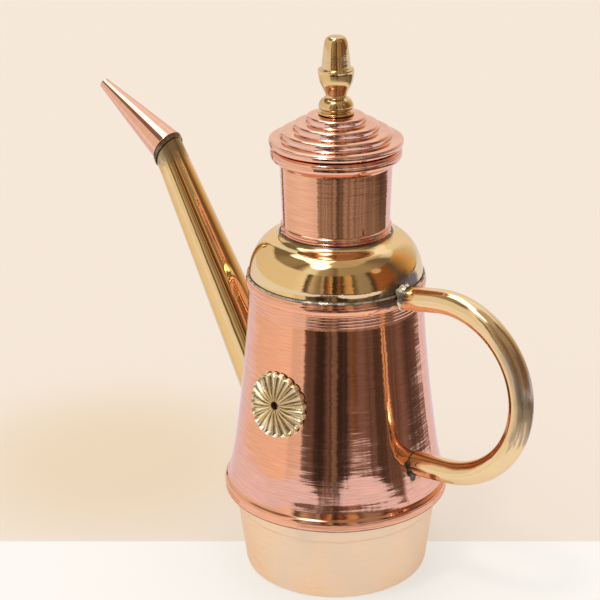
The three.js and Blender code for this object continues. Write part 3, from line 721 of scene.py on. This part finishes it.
def shoulder_outline():
    """The shoulder: a spigot in the body's mouth, the dome, a lip round the neck and a collar inside it."""
    turns = [DOME_TURN * row / DOME_ROWS for row in range(DOME_ROWS + 1)]
    spigot = [(41.9, 155.0), (41.9, DOME_FOOT)]
    lip = [
        (32.6, 179.05), (31.4, 179.45), (30.2, 179.95), (29.2, 180.55), (28.4, 181.3), (27.85, 182.15),
        (27.45, 182.15), (27.45, 180.4),
    ]
    collar = [(25.1, 180.4), (25.1, 186.2), (24.1, 186.2), (24.1, 179.4), (27.3, 179.4), (31.0, 178.6)]
    inside = [dome_point(turn, SHEET) for turn in reversed(turns[2:])]
    step = [(42.38, 160.3), (40.9, 160.3), (40.9, 155.0)]
    return spigot + [dome_point(turn) for turn in turns] + lip + collar + inside + step


def neck_outline():
    """The neck: two fine beads at its foot, a flared wall, and a rim rolled outwards and down."""
    beads = [
        (25.4, 180.7), (26.3, 180.7), (26.35, 182.0), (26.9, 182.25), (27.2, 182.65), (27.2, 183.05),
        (26.9, 183.4), (26.35, 183.6), (26.4, 184.6), (27.1, 184.8), (27.45, 185.15), (27.45, 185.5),
        (27.1, 185.85), (26.6, 186.1),
    ]
    hollow = [
        (27.88, 223.8), (30.2, 223.8), (30.9, 223.4), (31.2, 222.9), (31.2, 221.2), (30.95, 220.6),
        (30.1, 219.9), (28.15, 218.75), (27.78, 217.7),
    ]
    roll = [
        (27.76, 216.5), (28.6, 217.8), (30.6, 218.9), (31.7, 219.8), (32.2, 221.0), (32.2, 222.4),
        (31.95, 222.7), (32.2, 223.0), (32.2, 223.4), (31.9, 224.0), (31.3, 224.5), (30.4, 224.8),
        (27.0, 224.8),
    ]
    return beads + hollow + roll


def lid_outline():
    """The lid: a turned-under rim with a fine groove, and three treads that rise to the knob's seat."""
    rim = [
        (28.8, 225.1), (30.6, 225.1), (31.7, 225.5), (32.5, 226.1), (32.8, 226.8), (32.8, 228.0),
        (32.45, 228.3),
    ]
    lid = rim + [(32.8, 228.5), (32.7, 228.8), (32.4, 229.1), (31.8, 229.3)]
    for step, radius in enumerate(TREAD_RADII):
        foot = TREAD_LEVEL + TREAD_RISE * step
        lid += [(radius + 3.4, foot - 0.12), *arc(radius + 0.8, foot + 0.8, 0.8, 270, 180, 4)]
        lid += arc(radius - 1.8, foot + 1.75, 1.8, 0, 78, 8)
    lid += [(11.6, 240.9), (10.4, LID_TOP)]
    under = [(radius - SHEET, level - SHEET) for radius, level in lid[len(rim) + 5 :]]
    hole = [(SCREW_HOLE_RADIUS, LID_TOP), (SCREW_HOLE_RADIUS, LID_TOP - SHEET)]
    inside = [(31.2, 228.4), (31.8, 227.8), (31.8, 226.1), (28.8, 226.1)]
    return lid + hole + under[::-1] + inside


def knob_outline():
    """The knob with its screw's bore, its outline in shares of a radius and of its height."""
    shares = [
        (0.95, 0), (0.97, 0.012), (0.95, 0.026), (0.83, 0.036), (0.79, 0.046), (0.86, 0.06),
        (0.93, 0.076), (0.945, 0.096), (0.925, 0.125), (0.84, 0.165), (0.77, 0.186), (0.69, 0.2),
        (0.6, 0.213), (0.56, 0.228), (0.57, 0.246), (0.61, 0.27), (0.69, 0.315), (0.795, 0.366),
        (0.875, 0.41), (0.92, 0.455), (0.948, 0.5), (0.962, 0.53), (0.962, 0.57), (0.945, 0.584),
        (0.82, 0.59), (0.782, 0.597), (0.735, 0.7), (0.708, 0.76), (0.69, 0.8), (0.675, 0.83),
        (0.65, 0.88), (0.615, 0.925), (0.55, 0.965), (0.46, 0.99), (0.4, 0.998), (0, 1.0),
    ]
    bore = [(0, KNOB_BORE_TOP), (SCREW_HOLE_RADIUS, KNOB_BORE_TOP), (SCREW_HOLE_RADIUS, KNOB_LEVEL)]
    return bore + [(across * KNOB_RADIUS, KNOB_LEVEL + up * KNOB_HEIGHT) for across, up in shares]


class PieceOperator:
    """What the operators that make pieces share"""

    bl_options = {"REGISTER", "UNDO"}

    def values(self, context):
        return context.scene.dispenser_sizes, context.scene.dispenser_finishes


class DISPENSER_OT_jar(PieceOperator, bpy.types.Operator):
    """Turn the base cup, the body, the shoulder and the neck"""

    bl_idname = "dispenser.jar"
    bl_label = "Turned jar"

    def execute(self, context):
        sizes, colours = self.values(context)
        # The body's one seam level is painted shade along the lower edge of its fold, over the cup.
        copper = metal(
            "turned_copper", colours.copper, 0.07, 1000.0, tilt=0.5, wave=0.4, sway=0.4, tint=0.85,
            spots=TOP_SMEARS + FOOT_SMEARS, seams_and_shade=((44.5, 44.15),),
        )
        neck_copper = metal(
            "neck_copper", paler(colours.copper, 0.1), 0.06, 1700.0, tilt=0.6, wave=0.2, sway=0.7, tint=0.8
        )
        # The shoulder's first seam level is the solder at the dome's foot; the second is painted shade under
        # the neck's beads.
        brass = metal(
            "shoulder_brass", colours.brass, 0.045, 900.0, tilt=0.3, wave=0.9, tint=0.96,
            spots=TOP_SMEARS, seams_and_shade=((160.9, 159.7), (181.0, 181.6)),
        )
        pale = metal(
            "cup_brass", colours.pale_brass, 0.18, 900.0, tilt=0.5, wave=1.6, tint=0.93, mask=mottled,
            grime_and_shade=(0.86, 0.72, 0.6),
        )
        cup = spun(cup_outline(), sizes.steps, sizes.rounding, ring=False)
        settled(cup, "cup", "base_cup", "jar", pale)
        drill = bmesh.new()
        radius = SPOUT_HOLE_RADIUS * MM
        bmesh.ops.create_cone(
            drill, cap_ends=True, segments=48, radius1=radius, radius2=radius, depth=SPOUT_DRILL_LENGTH * MM
        )
        body = spun(body_outline(), sizes.steps, sizes.rounding)
        body = pierced(body, laid(drill, SPOUT_TURN, SPOUT_SEAT))
        settled(body, "body", "body_shell", "jar", copper)
        shoulder = spun(shoulder_outline(), sizes.steps, sizes.rounding)
        settled(shoulder, "shoulder", "shoulder_dome", "jar", brass)
        neck = spun(neck_outline(), sizes.steps, sizes.rounding)
        settled(neck, "neck", "neck_cup", "jar", neck_copper)
        return {"FINISHED"}


class DISPENSER_OT_lid(PieceOperator, bpy.types.Operator):
    """Turn the stepped lid, its skirt and its knob"""

    bl_idname = "dispenser.lid"
    bl_label = "Lid and knob"

    def execute(self, context):
        sizes, colours = self.values(context)
        copper = metal("lid_copper", paler(colours.copper, 0.2), 0.09, 1300.0, tilt=0.5, wave=0.9, sway=0.5)
        brass = metal("knob_brass", shaded(colours.brass, 0.93), 0.08, 2600.0, tilt=0.9, wave=1.0, sway=1.5)
        lid = spun(lid_outline(), sizes.steps, sizes.rounding)
        settled(lid, "lid", "lid_cap", "lid", copper)
        inner = SKIRT_RADIUS - SHEET
        skirt = [(inner, SKIRT_FOOT), (SKIRT_RADIUS, SKIRT_FOOT)]
        skirt += [(SKIRT_RADIUS, SKIRT_TOP), (inner, SKIRT_TOP)]
        settled(spun(skirt, sizes.steps, sizes.rounding), "skirt", "lid_skirt", "lid", copper)
        knob = spun(knob_outline(), sizes.steps // 2, sizes.rounding * 0.7, ring=False)
        settled(knob, "knob", "lid_finial", "lid", brass)
        return {"FINISHED"}


def spout_form():
    """The tapered tube, its foot fitted to the vessel all round and its upper end cut square to the tip."""
    rows = [SPOUT_LENGTH * row / 12 for row in range(14)]
    outer = [(SPOUT_FOOT_RADIUS + SPOUT_TAPER * row, row) for row in rows]
    tube = outer + [(radius - SHEET, row) for radius, row in reversed(outer)]
    form = laid(spun(tube, SPOUT_STEPS, 0.0), SPOUT_TURN, SPOUT_SEAT)
    for vertex in form.verts:
        away = vertex.co / MM - SPOUT_SEAT
        row = away.dot(SPOUT_LINE)
        side = away - SPOUT_LINE * row
        radius = side.length - SPOUT_TAPER * row
        side.normalize()
        foot = met(SPOUT_SEAT, SPOUT_LINE, side, radius, SPOUT_TAPER)
        row = foot + (rows[-1] - foot) * row / rows[-1]
        vertex.co = (SPOUT_SEAT + side * (radius + SPOUT_TAPER * row) + SPOUT_LINE * row) * MM
    cut = SPOUT_JOINT - TIP_LINE * (JOINT_BAND + 2 * GAP)
    sliced(form, cut, TIP_LINE)
    bmesh.ops.bridge_loops(form, edges=[edge for edge in form.edges if edge.is_boundary])
    bmesh.ops.recalc_face_normals(form, faces=form.faces)
    return form


def joint_band_form():
    """The band of solder that fills the space between the spout's cut end and the tip."""
    rows = [SPOUT_LENGTH - 9 + row for row in (0, 4, 8, 12, 16)]
    rows = [(row, SPOUT_FOOT_RADIUS + SPOUT_TAPER * row) for row in rows]
    collar = [(radius - SHEET, row) for row, radius in rows]
    collar += [(radius + JOINT_PROUD, row) for row, radius in reversed(rows)]
    form = laid(spun(collar, SPOUT_STEPS, 0.0), SPOUT_TURN, SPOUT_SEAT)
    sliced(form, SPOUT_JOINT - TIP_LINE * GAP, TIP_LINE)
    sliced(form, SPOUT_JOINT - TIP_LINE * (JOINT_BAND + GAP), -TIP_LINE)
    open_edges = [edge for edge in form.edges if edge.is_boundary]
    middle = (SPOUT_JOINT - TIP_LINE * (JOINT_BAND / 2 + GAP)) * MM
    for side in (1, -1):
        ends = [edge for edge in open_edges if (edge.verts[0].co - middle).dot(TIP_LINE) * side > 0]
        bmesh.ops.bridge_loops(form, edges=ends)
    bmesh.ops.recalc_face_normals(form, faces=form.faces)
    return form


class DISPENSER_OT_spout(PieceOperator, bpy.types.Operator):
    """Draw the tapered spout and spin its tip"""

    bl_idname = "dispenser.spout"
    bl_label = "Spout and tip"

    def execute(self, context):
        sizes, colours = self.values(context)
        brass = metal(
            "spout_brass", colours.brass, 0.05, 70.0, turn=-SPOUT_TURN, tilt=0.25, wave=0.5, tint=0.97,
            spots=((SPOUT_JOINT, 16.0),), grime_and_shade=(0.36, 0.28, 0.17),
        )
        copper = metal(
            "tip_copper", paler(colours.copper, 0.15), 0.07, 1200.0, turn=-TIP_TURN, tilt=0.4, wave=0.4
        )
        settled(spout_form(), "spout", "spout_tube", "jar", brass)
        tip = [
            (TIP_RADIUS - SHEET, 0), (TIP_RADIUS, 0), (6.2, 26.0), (TIP_END_RADIUS, TIP_LENGTH - 0.8),
            (TIP_END_RADIUS - 0.1, TIP_LENGTH), (TIP_END_RADIUS - SHEET, TIP_LENGTH), (5.2, 26.0),
        ]
        tip = laid(spun(tip, SPOUT_STEPS, sizes.rounding * 0.6), TIP_TURN, SPOUT_JOINT)
        settled(tip, "tip", "spout_tip", "jar", copper)
        scale = solder_skin("joint_solder", (0.3, 0.22, 0.15), (0.1, 0.075, 0.055))
        settled(joint_band_form(), "joint_band", "spout_joint_solder", "jar", scale)
        return {"FINISHED"}


def handle_form():
    """The tube: a straight leg at each end, two bends between them, and the ends fitted to the vessel."""
    top_line = Vector((math.cos(TOP_TILT), 0, math.sin(TOP_TILT)))
    foot_line = Vector((math.cos(FOOT_TILT), 0, math.sin(FOOT_TILT)))
    bend_start = TOP_SEAT + top_line * HANDLE_LEG
    top_centre = bend_start + Vector((top_line.z, 0, -top_line.x)) * TOP_BEND
    outermost = top_centre + Vector((TOP_BEND, 0, 0))
    across = Vector((-foot_line.z, 0, foot_line.x))
    low_bend = (outermost - WALL_FOOT_SEAT).dot(across) / (1 - foot_line.z)
    low_centre = outermost - Vector((low_bend, 0, 0))
    form = bmesh.new()
    rings = []
    for radius in (TUBE_RADIUS, TUBE_RADIUS - SHEET):
        start = ring_of(form, TOP_SEAT, math.pi / 2 - TOP_TILT, radius, 40)
        moved = grown(form, start)
        bmesh.ops.translate(form, verts=moved, vec=top_line * HANDLE_LEG * MM)
        for centre, angle, steps in (
            (top_centre, math.pi / 2 + TOP_TILT, 44),
            (low_centre, math.pi / 2 - FOOT_TILT, 40),
        ):
            turned = bmesh.ops.spin(
                form,
                geom=moved + ring_edges(moved),
                cent=centre * MM,
                axis=(0, 1, 0),
                angle=angle,
                steps=steps,
            )["geom_last"]
            moved = corners_of(turned)
        end = grown(form, moved)
        for vertex in end:
            vertex.co = seated(vertex.co / MM, foot_line, 60) * MM
        for vertex in start:
            vertex.co = seated(vertex.co / MM, top_line, 30) * MM
        rings.append((start, end))
    for outer, inner in zip(*rings):
        bmesh.ops.bridge_loops(form, edges=ring_edges(outer) + ring_edges(inner))
    bmesh.ops.recalc_face_normals(form, faces=form.faces)
    return form


class DISPENSER_OT_handle(PieceOperator, bpy.types.Operator):
    """Bend the handle's tube"""

    bl_idname = "dispenser.handle"
    bl_label = "Handle"

    def execute(self, context):
        colours = context.scene.dispenser_finishes
        brass = metal(
            "handle_brass", paler(colours.brass, 0.12), 0.08, 70.0, tilt=0.5, wave=1.1, tint=0.97,
            mask=dulled, grime_and_shade=(0.46, 0.37, 0.3),
        )
        settled(handle_form(), "handle", "handle_tube", "jar", brass)
        return {"FINISHED"}


def rosette_form(sizes):
    """The pressed disc: rings of flutes from its centre to its rim and back behind, bent round the wall."""
    count = sizes.flutes * 14
    shares = [0, 0.04, 0.1, 0.2, 0.32, 0.45, 0.58, 0.7, 0.8, 0.86, 0.9, 0.93, 0.96, 0.985, 1.0]
    form = bmesh.new()
    depth = form.verts.layers.float.new("groove")

    def shaped(ring, share, front):
        for index, vertex in enumerate(ring):
            turn = math.tau * index / count
            across = abs(math.sin(sizes.flutes * turn / 2))
            ridge = (1 - across) ** 1.15
            lip = math.exp(-(((share - 0.93) / 0.045) ** 2))
            rim = ROSETTE_RADIUS - 1.1 * (1 - across) ** 1.5
            radius = 2.0 + (rim - 2.0) * share
            out = GAP + 1.3 * (1 - min(radius / ROSETTE_RADIUS, 1) ** 2)
            raised = max(ridge, lip * 0.85)
            if front:
                fade = min(share * 2.2 + 0.25, 1) * (0.3 if share > 0.97 else 1)
                out += 0.35 + (0.25 + sizes.flute_depth / MM * raised) * fade
            level = ROSETTE_LEVEL + radius * math.sin(turn)
            wall = seat_radius(level) + out
            place = radius * math.cos(turn) / seat_radius(ROSETTE_LEVEL) + ROSETTE_TURN
            vertex.co = Vector((wall * math.cos(place), wall * math.sin(place), level)) * MM
            # The groove value darkens the flutes' slopes and floors; the hole's edge, the rim's side and the
            # back get a fixed mid value. This is painted shade, partly patina.
            foot = math.exp(-(((across - 0.5) / 0.24) ** 2))
            worn = (0.3 + 0.7 * foot) * (1 - raised) ** 0.6 * min(share * 12 + 0.5, 1)
            vertex[depth] = worn if front and share > 0 else 0.62

    start = bmesh.ops.create_circle(form, cap_ends=False, segments=count, radius=1)["verts"]
    ring = start
    shaped(start, 0, True)
    for front, order in ((True, shares[1:]), (False, list(reversed(shares)))):
        for share in order:
            members = set(ring)
            by_turn = {}
            for vertex in grown(form, ring):
                partners = [edge.other_vert(vertex) for edge in vertex.link_edges]
                by_turn[next(partner for partner in partners if partner in members)] = vertex
            ring = [by_turn[vertex] for vertex in ring]
            shaped(ring, share, front)
    bmesh.ops.bridge_loops(form, edges=ring_edges(ring) + ring_edges(start))
    bmesh.ops.recalc_face_normals(form, faces=form.faces)
    return form


class DISPENSER_OT_rosette(PieceOperator, bpy.types.Operator):
    """Press the fluted rosette and bend it round the body"""

    bl_idname = "dispenser.rosette"
    bl_label = "Rosette"

    def execute(self, context):
        form = rosette_form(context.scene.dispenser_sizes)
        settled(form, "petals", "rosette", "jar", fluted_brass("rosette_brass"))
        return {"FINISHED"}


class DISPENSER_OT_solder(PieceOperator, bpy.types.Operator):
    """Run the solder that shows, and finish the pieces that stay as they are"""

    bl_idname = "dispenser.solder"
    bl_label = "Solder and hidden pieces"

    def execute(self, context):
        sizes, colours = self.values(context)
        grey = solder_skin("grey_solder", shaded(colours.solder, 1.35), shaded(colours.solder, 0.5))
        tin = solder_skin("tin_solder", (0.86, 0.8, 0.68), shaded(colours.solder, 0.45))
        dark_solder_and_shade = solder_skin("dark_solder_and_painted_shade", shaded(colours.solder, 0.45), shaded(colours.solder, 0.16))
        seam = [(43.7, 159.3), (44.45, 159.3), (44.5, 159.6), (44.0, 160.2), (43.7, 160.1)]
        settled(spun(seam, sizes.steps, 0.0), "shoulder_run", "shoulder_solder_seam", "jar", grey)
        handle_turn = math.pi / 2 - TOP_TILT
        foot_turn = math.pi / 2 - FOOT_TILT
        joints = (
            (
                "handle_top_run", "handle_top_solder", tin,
                (TOP_SEAT, handle_turn, TUBE_RADIUS, 2.0, 2.4, 5.0, 135),
            ),
            (
                "handle_foot_run", "handle_bottom_solder", dark_solder_and_shade,
                (WALL_FOOT_SEAT, foot_turn, TUBE_RADIUS, 1.2, 0.9, 2.0, 215),
            ),
            (
                "spout_foot_run", "spout_base_solder", tin,
                (SPOUT_SEAT, SPOUT_TURN, SPOUT_FOOT_RADIUS, 1.8, 2.0, 3.0, 270, SPOUT_TAPER),
            ),
        )
        for name, node, finish, values in joints:
            settled(fillet(*values), name, node, "jar", finish)
        steel = metal("screw_steel", (0.55, 0.55, 0.54), 0.3, 900.0)
        # The rosette's pad behind its hole gets the dark solder so that the hole shows dark, which is painted
        # shade. At the handle's foot the dark solder is the joint's own.
        kept = {
            "base_solder_seam": grey, "neck_solder_seam": grey, "skirt_solder_seam": grey,
            "rosette_solder": dark_solder_and_shade, "finial_washer": steel, "finial_screw": steel,
        }
        for node, finish in kept.items():
            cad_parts[node].data.materials.clear()
            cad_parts[node].data.materials.append(finish)
        return {"FINISHED"}


def sun_direction():
    """Towards the key lamp, high up on the left of the camera."""
    turn, rise = math.radians(LAMP_TURN), math.radians(LAMP_RISE)
    return Vector((math.cos(turn) * math.cos(rise), math.sin(turn) * math.cos(rise), math.sin(rise)))


class DISPENSER_OT_stage(bpy.types.Operator):
    """Set the table, the backdrop, the lamp and the camera"""

    bl_idname = "dispenser.stage"
    bl_label = "Stage"

    def execute(self, context):
        values = context.scene.dispenser_stage
        self.surroundings(context, values)
        self.table(context, values)
        lamp = bpy.data.lights.new("key", "SUN")
        lamp.energy = values.key
        lamp.angle = math.radians(9)
        lamp.color = (1.0, 0.97, 0.92)
        holder = bpy.data.objects.new("key", lamp)
        context.scene.collection.objects.link(holder)
        away = sun_direction()
        holder.location = away
        holder.rotation_mode = "QUATERNION"
        holder.rotation_quaternion = away.to_track_quat("Z", "Y")
        camera = bpy.data.objects.new("camera", bpy.data.cameras.new("camera"))
        context.scene.collection.objects.link(camera)
        camera.location = CAMERA_PLACE
        camera.rotation_euler = (math.radians(CAMERA_TILT), 0, math.radians(CAMERA_TURN))
        camera.data.lens = CAMERA_LENS
        camera.data.shift_x = CAMERA_SHIFT
        context.scene.camera = camera
        context.scene.view_settings.view_transform = "Standard"
        return {"FINISHED"}

    def table(self, context, values):
        """A pale table, and the warmer backdrop behind its edge."""
        form = bmesh.new()
        bmesh.ops.create_grid(form, x_segments=1, y_segments=1, size=6)
        mesh = bpy.data.meshes.new("table")
        form.to_mesh(mesh)
        form.free()
        table = bpy.data.objects.new("table", mesh)
        context.scene.collection.objects.link(table)
        material, nodes = material_nodes("table")
        place = nodes.place()
        facing = math.radians(CAMERA_TURN)
        toward = (math.sin(facing), -math.cos(facing), 0)
        front = nodes.vector("DOT_PRODUCT", place, toward)
        # The glow is painted shade on the backdrop: a darker, warmer patch left of the vessel.
        away = nodes.vector("DISTANCE", place, (-0.17, 0.0, 0))
        behind = nodes.mix(nodes.spread(away, 0.14, 0.03), rgba(values.backdrop), rgba(values.glow))
        colour = nodes.mix(nodes.spread(front, -0.0125, -0.0105), behind, rgba(values.table))
        # Glossy rays see the floor near the vessel in a warmer tone of its own, which is a painted reflection
        # in the metal. Further out, the floor is clear to them.
        far = nodes.vector("LENGTH", place)
        glossy = nodes.add("ShaderNodeLightPath").outputs["Is Glossy Ray"]
        near = nodes.math("MULTIPLY", glossy, nodes.spread(far, 0.115, 0.085))
        colour = nodes.mix(near, colour, (0.98, 0.91, 0.84, 1))
        lit = nodes.add("ShaderNodeBsdfDiffuse", {0: colour}).outputs[0]
        even = nodes.add("ShaderNodeEmission", {0: colour}).outputs[0]
        surface = nodes.add("ShaderNodeMixShader", {0: 0.5, 1: lit, 2: even}).outputs[0]
        beyond = nodes.math("MULTIPLY", glossy, nodes.spread(far, 0.125, 0.16))
        clear = nodes.add("ShaderNodeBsdfTransparent").outputs[0]
        mixed = nodes.add("ShaderNodeMixShader", {0: beyond, 1: surface, 2: clear}).outputs[0]
        nodes.add("ShaderNodeOutputMaterial", {0: mixed})
        mesh.materials.append(material)

    def surroundings(self, context, values):
        """The backdrop for the camera, the room that the metal mirrors, and an even light for all else.

        The room has a bright wall to the left, a dim side in front, a window and a bright disc high up."""
        world = bpy.data.worlds.new("room")
        context.scene.world = world
        world.use_nodes = True
        nodes = Nodes(world.node_tree)
        ray = nodes.add("ShaderNodeTexCoord").outputs["Generated"]
        parts = nodes.add("ShaderNodeSeparateXYZ", {0: ray}).outputs
        wander = nodes.math("MULTIPLY_ADD", nodes.noise(ray, 14.0, 3.0), 0.02, -0.01)
        angle = nodes.math("ARCTAN2", parts[1], parts[0])
        share = nodes.math("MULTIPLY_ADD", angle, 1 / math.tau, 0.5 + (90 - CAMERA_TURN) / 360)
        turn = nodes.math("FRACT", nodes.math("ADD", share, wander))
        rise = nodes.math("MULTIPLY", nodes.math("ARCSINE", parts[2]), 180 / math.pi)
        rise = nodes.math("ADD", rise, nodes.math("MULTIPLY", wander, 150.0))
        under, low, foot, brink, middle, high, top = [
            nodes.ramp(turn, [(degrees / 360 + 0.5, shaded(tone, part)) for degrees, tone, part in stops])
            for stops in (UNDER, LOW, FOOT, BRINK, MIDDLE, HIGH, TOP)
        ]
        # Two pale stripes low in front, from 40 degrees left of the camera to 15 right
        inside = nodes.between(turn, 0.39, 0.542, 0.004)
        for start, end, share in ((-7.7, -7.2, 0.5), (-5.7, -4.7, 0.85)):
            stripe = nodes.math("MULTIPLY", inside, nodes.between(rise, start, end, 0.2))
            foot = nodes.mix(stripe, foot, rgba(shaded(DAWN, share)))
        room = nodes.mix(nodes.spread(rise, *LOW_EDGE), under, low)
        room = nodes.mix(nodes.spread(rise, *FOOT_EDGE), room, foot)
        # Fine upright streaks over the dim part of the room
        stretched = {0: nodes.math("MULTIPLY", turn, 150.0), 1: nodes.math("MULTIPLY", rise, 0.02)}
        streak = nodes.add("ShaderNodeCombineXYZ", stretched)
        streak = nodes.spread(nodes.noise(streak.outputs[0], 1.0, 2.0), 0.3, 0.7, -0.3, 0.3)
        streak = nodes.math("MULTIPLY_ADD", streak, nodes.between(turn, 0.39, 0.88, 0.01), 1.0)
        room = nodes.vector("SCALE", room, scale=streak)
        # Two pale patches that widen as they climb
        climb = nodes.spread(rise, -12.5, -6.5)
        for start, grow, end, spread in ((0.566, -0.055, 0.592, 0.125), (0.26, 0.0, 0.392, 0.055)):
            past = nodes.math("SUBTRACT", turn, nodes.math("MULTIPLY_ADD", climb, grow, start))
            short = nodes.math("SUBTRACT", nodes.math("MULTIPLY_ADD", climb, spread, end), turn)
            sides = [nodes.spread(edge, -0.003, 0.003) for edge in (past, short)]
            patch = nodes.math("MULTIPLY", *sides)
            patch = nodes.math("MULTIPLY", patch, nodes.spread(rise, -11.4, -10.8))
            room = nodes.mix(patch, room, rgba(shaded(DAWN, 0.98)))
        room = nodes.mix(nodes.spread(rise, *BRINK_EDGE), room, brink)
        room = nodes.mix(nodes.spread(rise, *MIDDLE_EDGE), room, middle)
        # Pale ground at the sides and behind, and the pale table under all
        side = nodes.math("ABSOLUTE", nodes.math("MULTIPLY_ADD", turn, 360, -180))
        slant = nodes.math("MULTIPLY_ADD", nodes.math("MAXIMUM", rise, -20.0), 7.0, side)
        edge = nodes.math("MULTIPLY", nodes.spread(slant, -11, -6), nodes.spread(rise, -4, -6))
        edge = nodes.math("MULTIPLY", edge, nodes.spread(side, 74, 80))
        room = nodes.mix(edge, room, rgba(DAWN))
        room = nodes.mix(nodes.spread(rise, -31, -37), room, (1.0, 0.93, 0.85, 1))
        # The upper bands come lower to the left and behind
        left = nodes.spread(turn, 0.18, 0.36, -8, 0)
        room = nodes.mix(nodes.spread(nodes.math("SUBTRACT", rise, left), *HIGH_EDGE), room, high)
        behind = nodes.spread(side, 95, 125, 0, 12)
        room = nodes.mix(nodes.spread(nodes.math("ADD", rise, behind), *TOP_EDGE), room, top)
        # A window high up on the right, and the bright disc of the key lamp
        window = (math.cos(math.radians(15)) * 0.8, math.sin(math.radians(15)) * 0.8, 0.6)
        gap = nodes.vector("DISTANCE", ray, window)
        room = nodes.mix(nodes.spread(gap, 0.13, 0.07), room, (0.66, 0.48, 0.35, 1))
        gap = nodes.vector("DISTANCE", ray, sun_direction())
        room = nodes.mix(nodes.spread(gap, 0.22, 0.1), room, (4.5, 4.45, 4.2, 1))
        kind = nodes.add("ShaderNodeLightPath")
        plain = nodes.mix(kind.outputs["Is Camera Ray"], rgba(values.light), rgba(values.backdrop))
        colour = nodes.mix(kind.outputs["Is Glossy Ray"], plain, room)
        light = nodes.add("ShaderNodeBackground", {"Color": colour, "Strength": 1.0})
        nodes.add("ShaderNodeOutputWorld", {0: light.outputs[0]})


PIECES = (
    DISPENSER_OT_stage,
    DISPENSER_OT_jar,
    DISPENSER_OT_lid,
    DISPENSER_OT_spout,
    DISPENSER_OT_handle,
    DISPENSER_OT_rosette,
    DISPENSER_OT_solder,
)


class DISPENSER_PT_panel(bpy.types.Panel):
    """Sizes, finishes and pieces of the dispenser"""

    bl_idname = "DISPENSER_PT_panel"
    bl_label = "Oil dispenser"
    bl_space_type = "VIEW_3D"
    bl_region_type = "UI"
    bl_category = "Dispenser"

    def draw(self, context):
        scene = context.scene
        for group in (scene.dispenser_sizes, scene.dispenser_finishes, scene.dispenser_stage):
            for name in group.__annotations__:
                self.layout.prop(group, name)
        for piece in PIECES:
            self.layout.operator(piece.bl_idname)


GROUPS = {
    "dispenser_sizes": DispenserSizes,
    "dispenser_finishes": DispenserFinishes,
    "dispenser_stage": DispenserStage,
}


def register():
    for each in (*GROUPS.values(), *PIECES, DISPENSER_PT_panel):
        bpy.utils.register_class(each)
    for name, group in GROUPS.items():
        setattr(bpy.types.Scene, name, bpy.props.PointerProperty(type=group))


def unregister():
    for name in GROUPS:
        delattr(bpy.types.Scene, name)
    for each in reversed((*GROUPS.values(), *PIECES, DISPENSER_PT_panel)):
        bpy.utils.unregister_class(each)


def main():
    register()
    for piece in PIECES:
        group, name = piece.bl_idname.split(".")
        getattr(getattr(bpy.ops, group), name)()


if __name__ == "__main__":
    main()
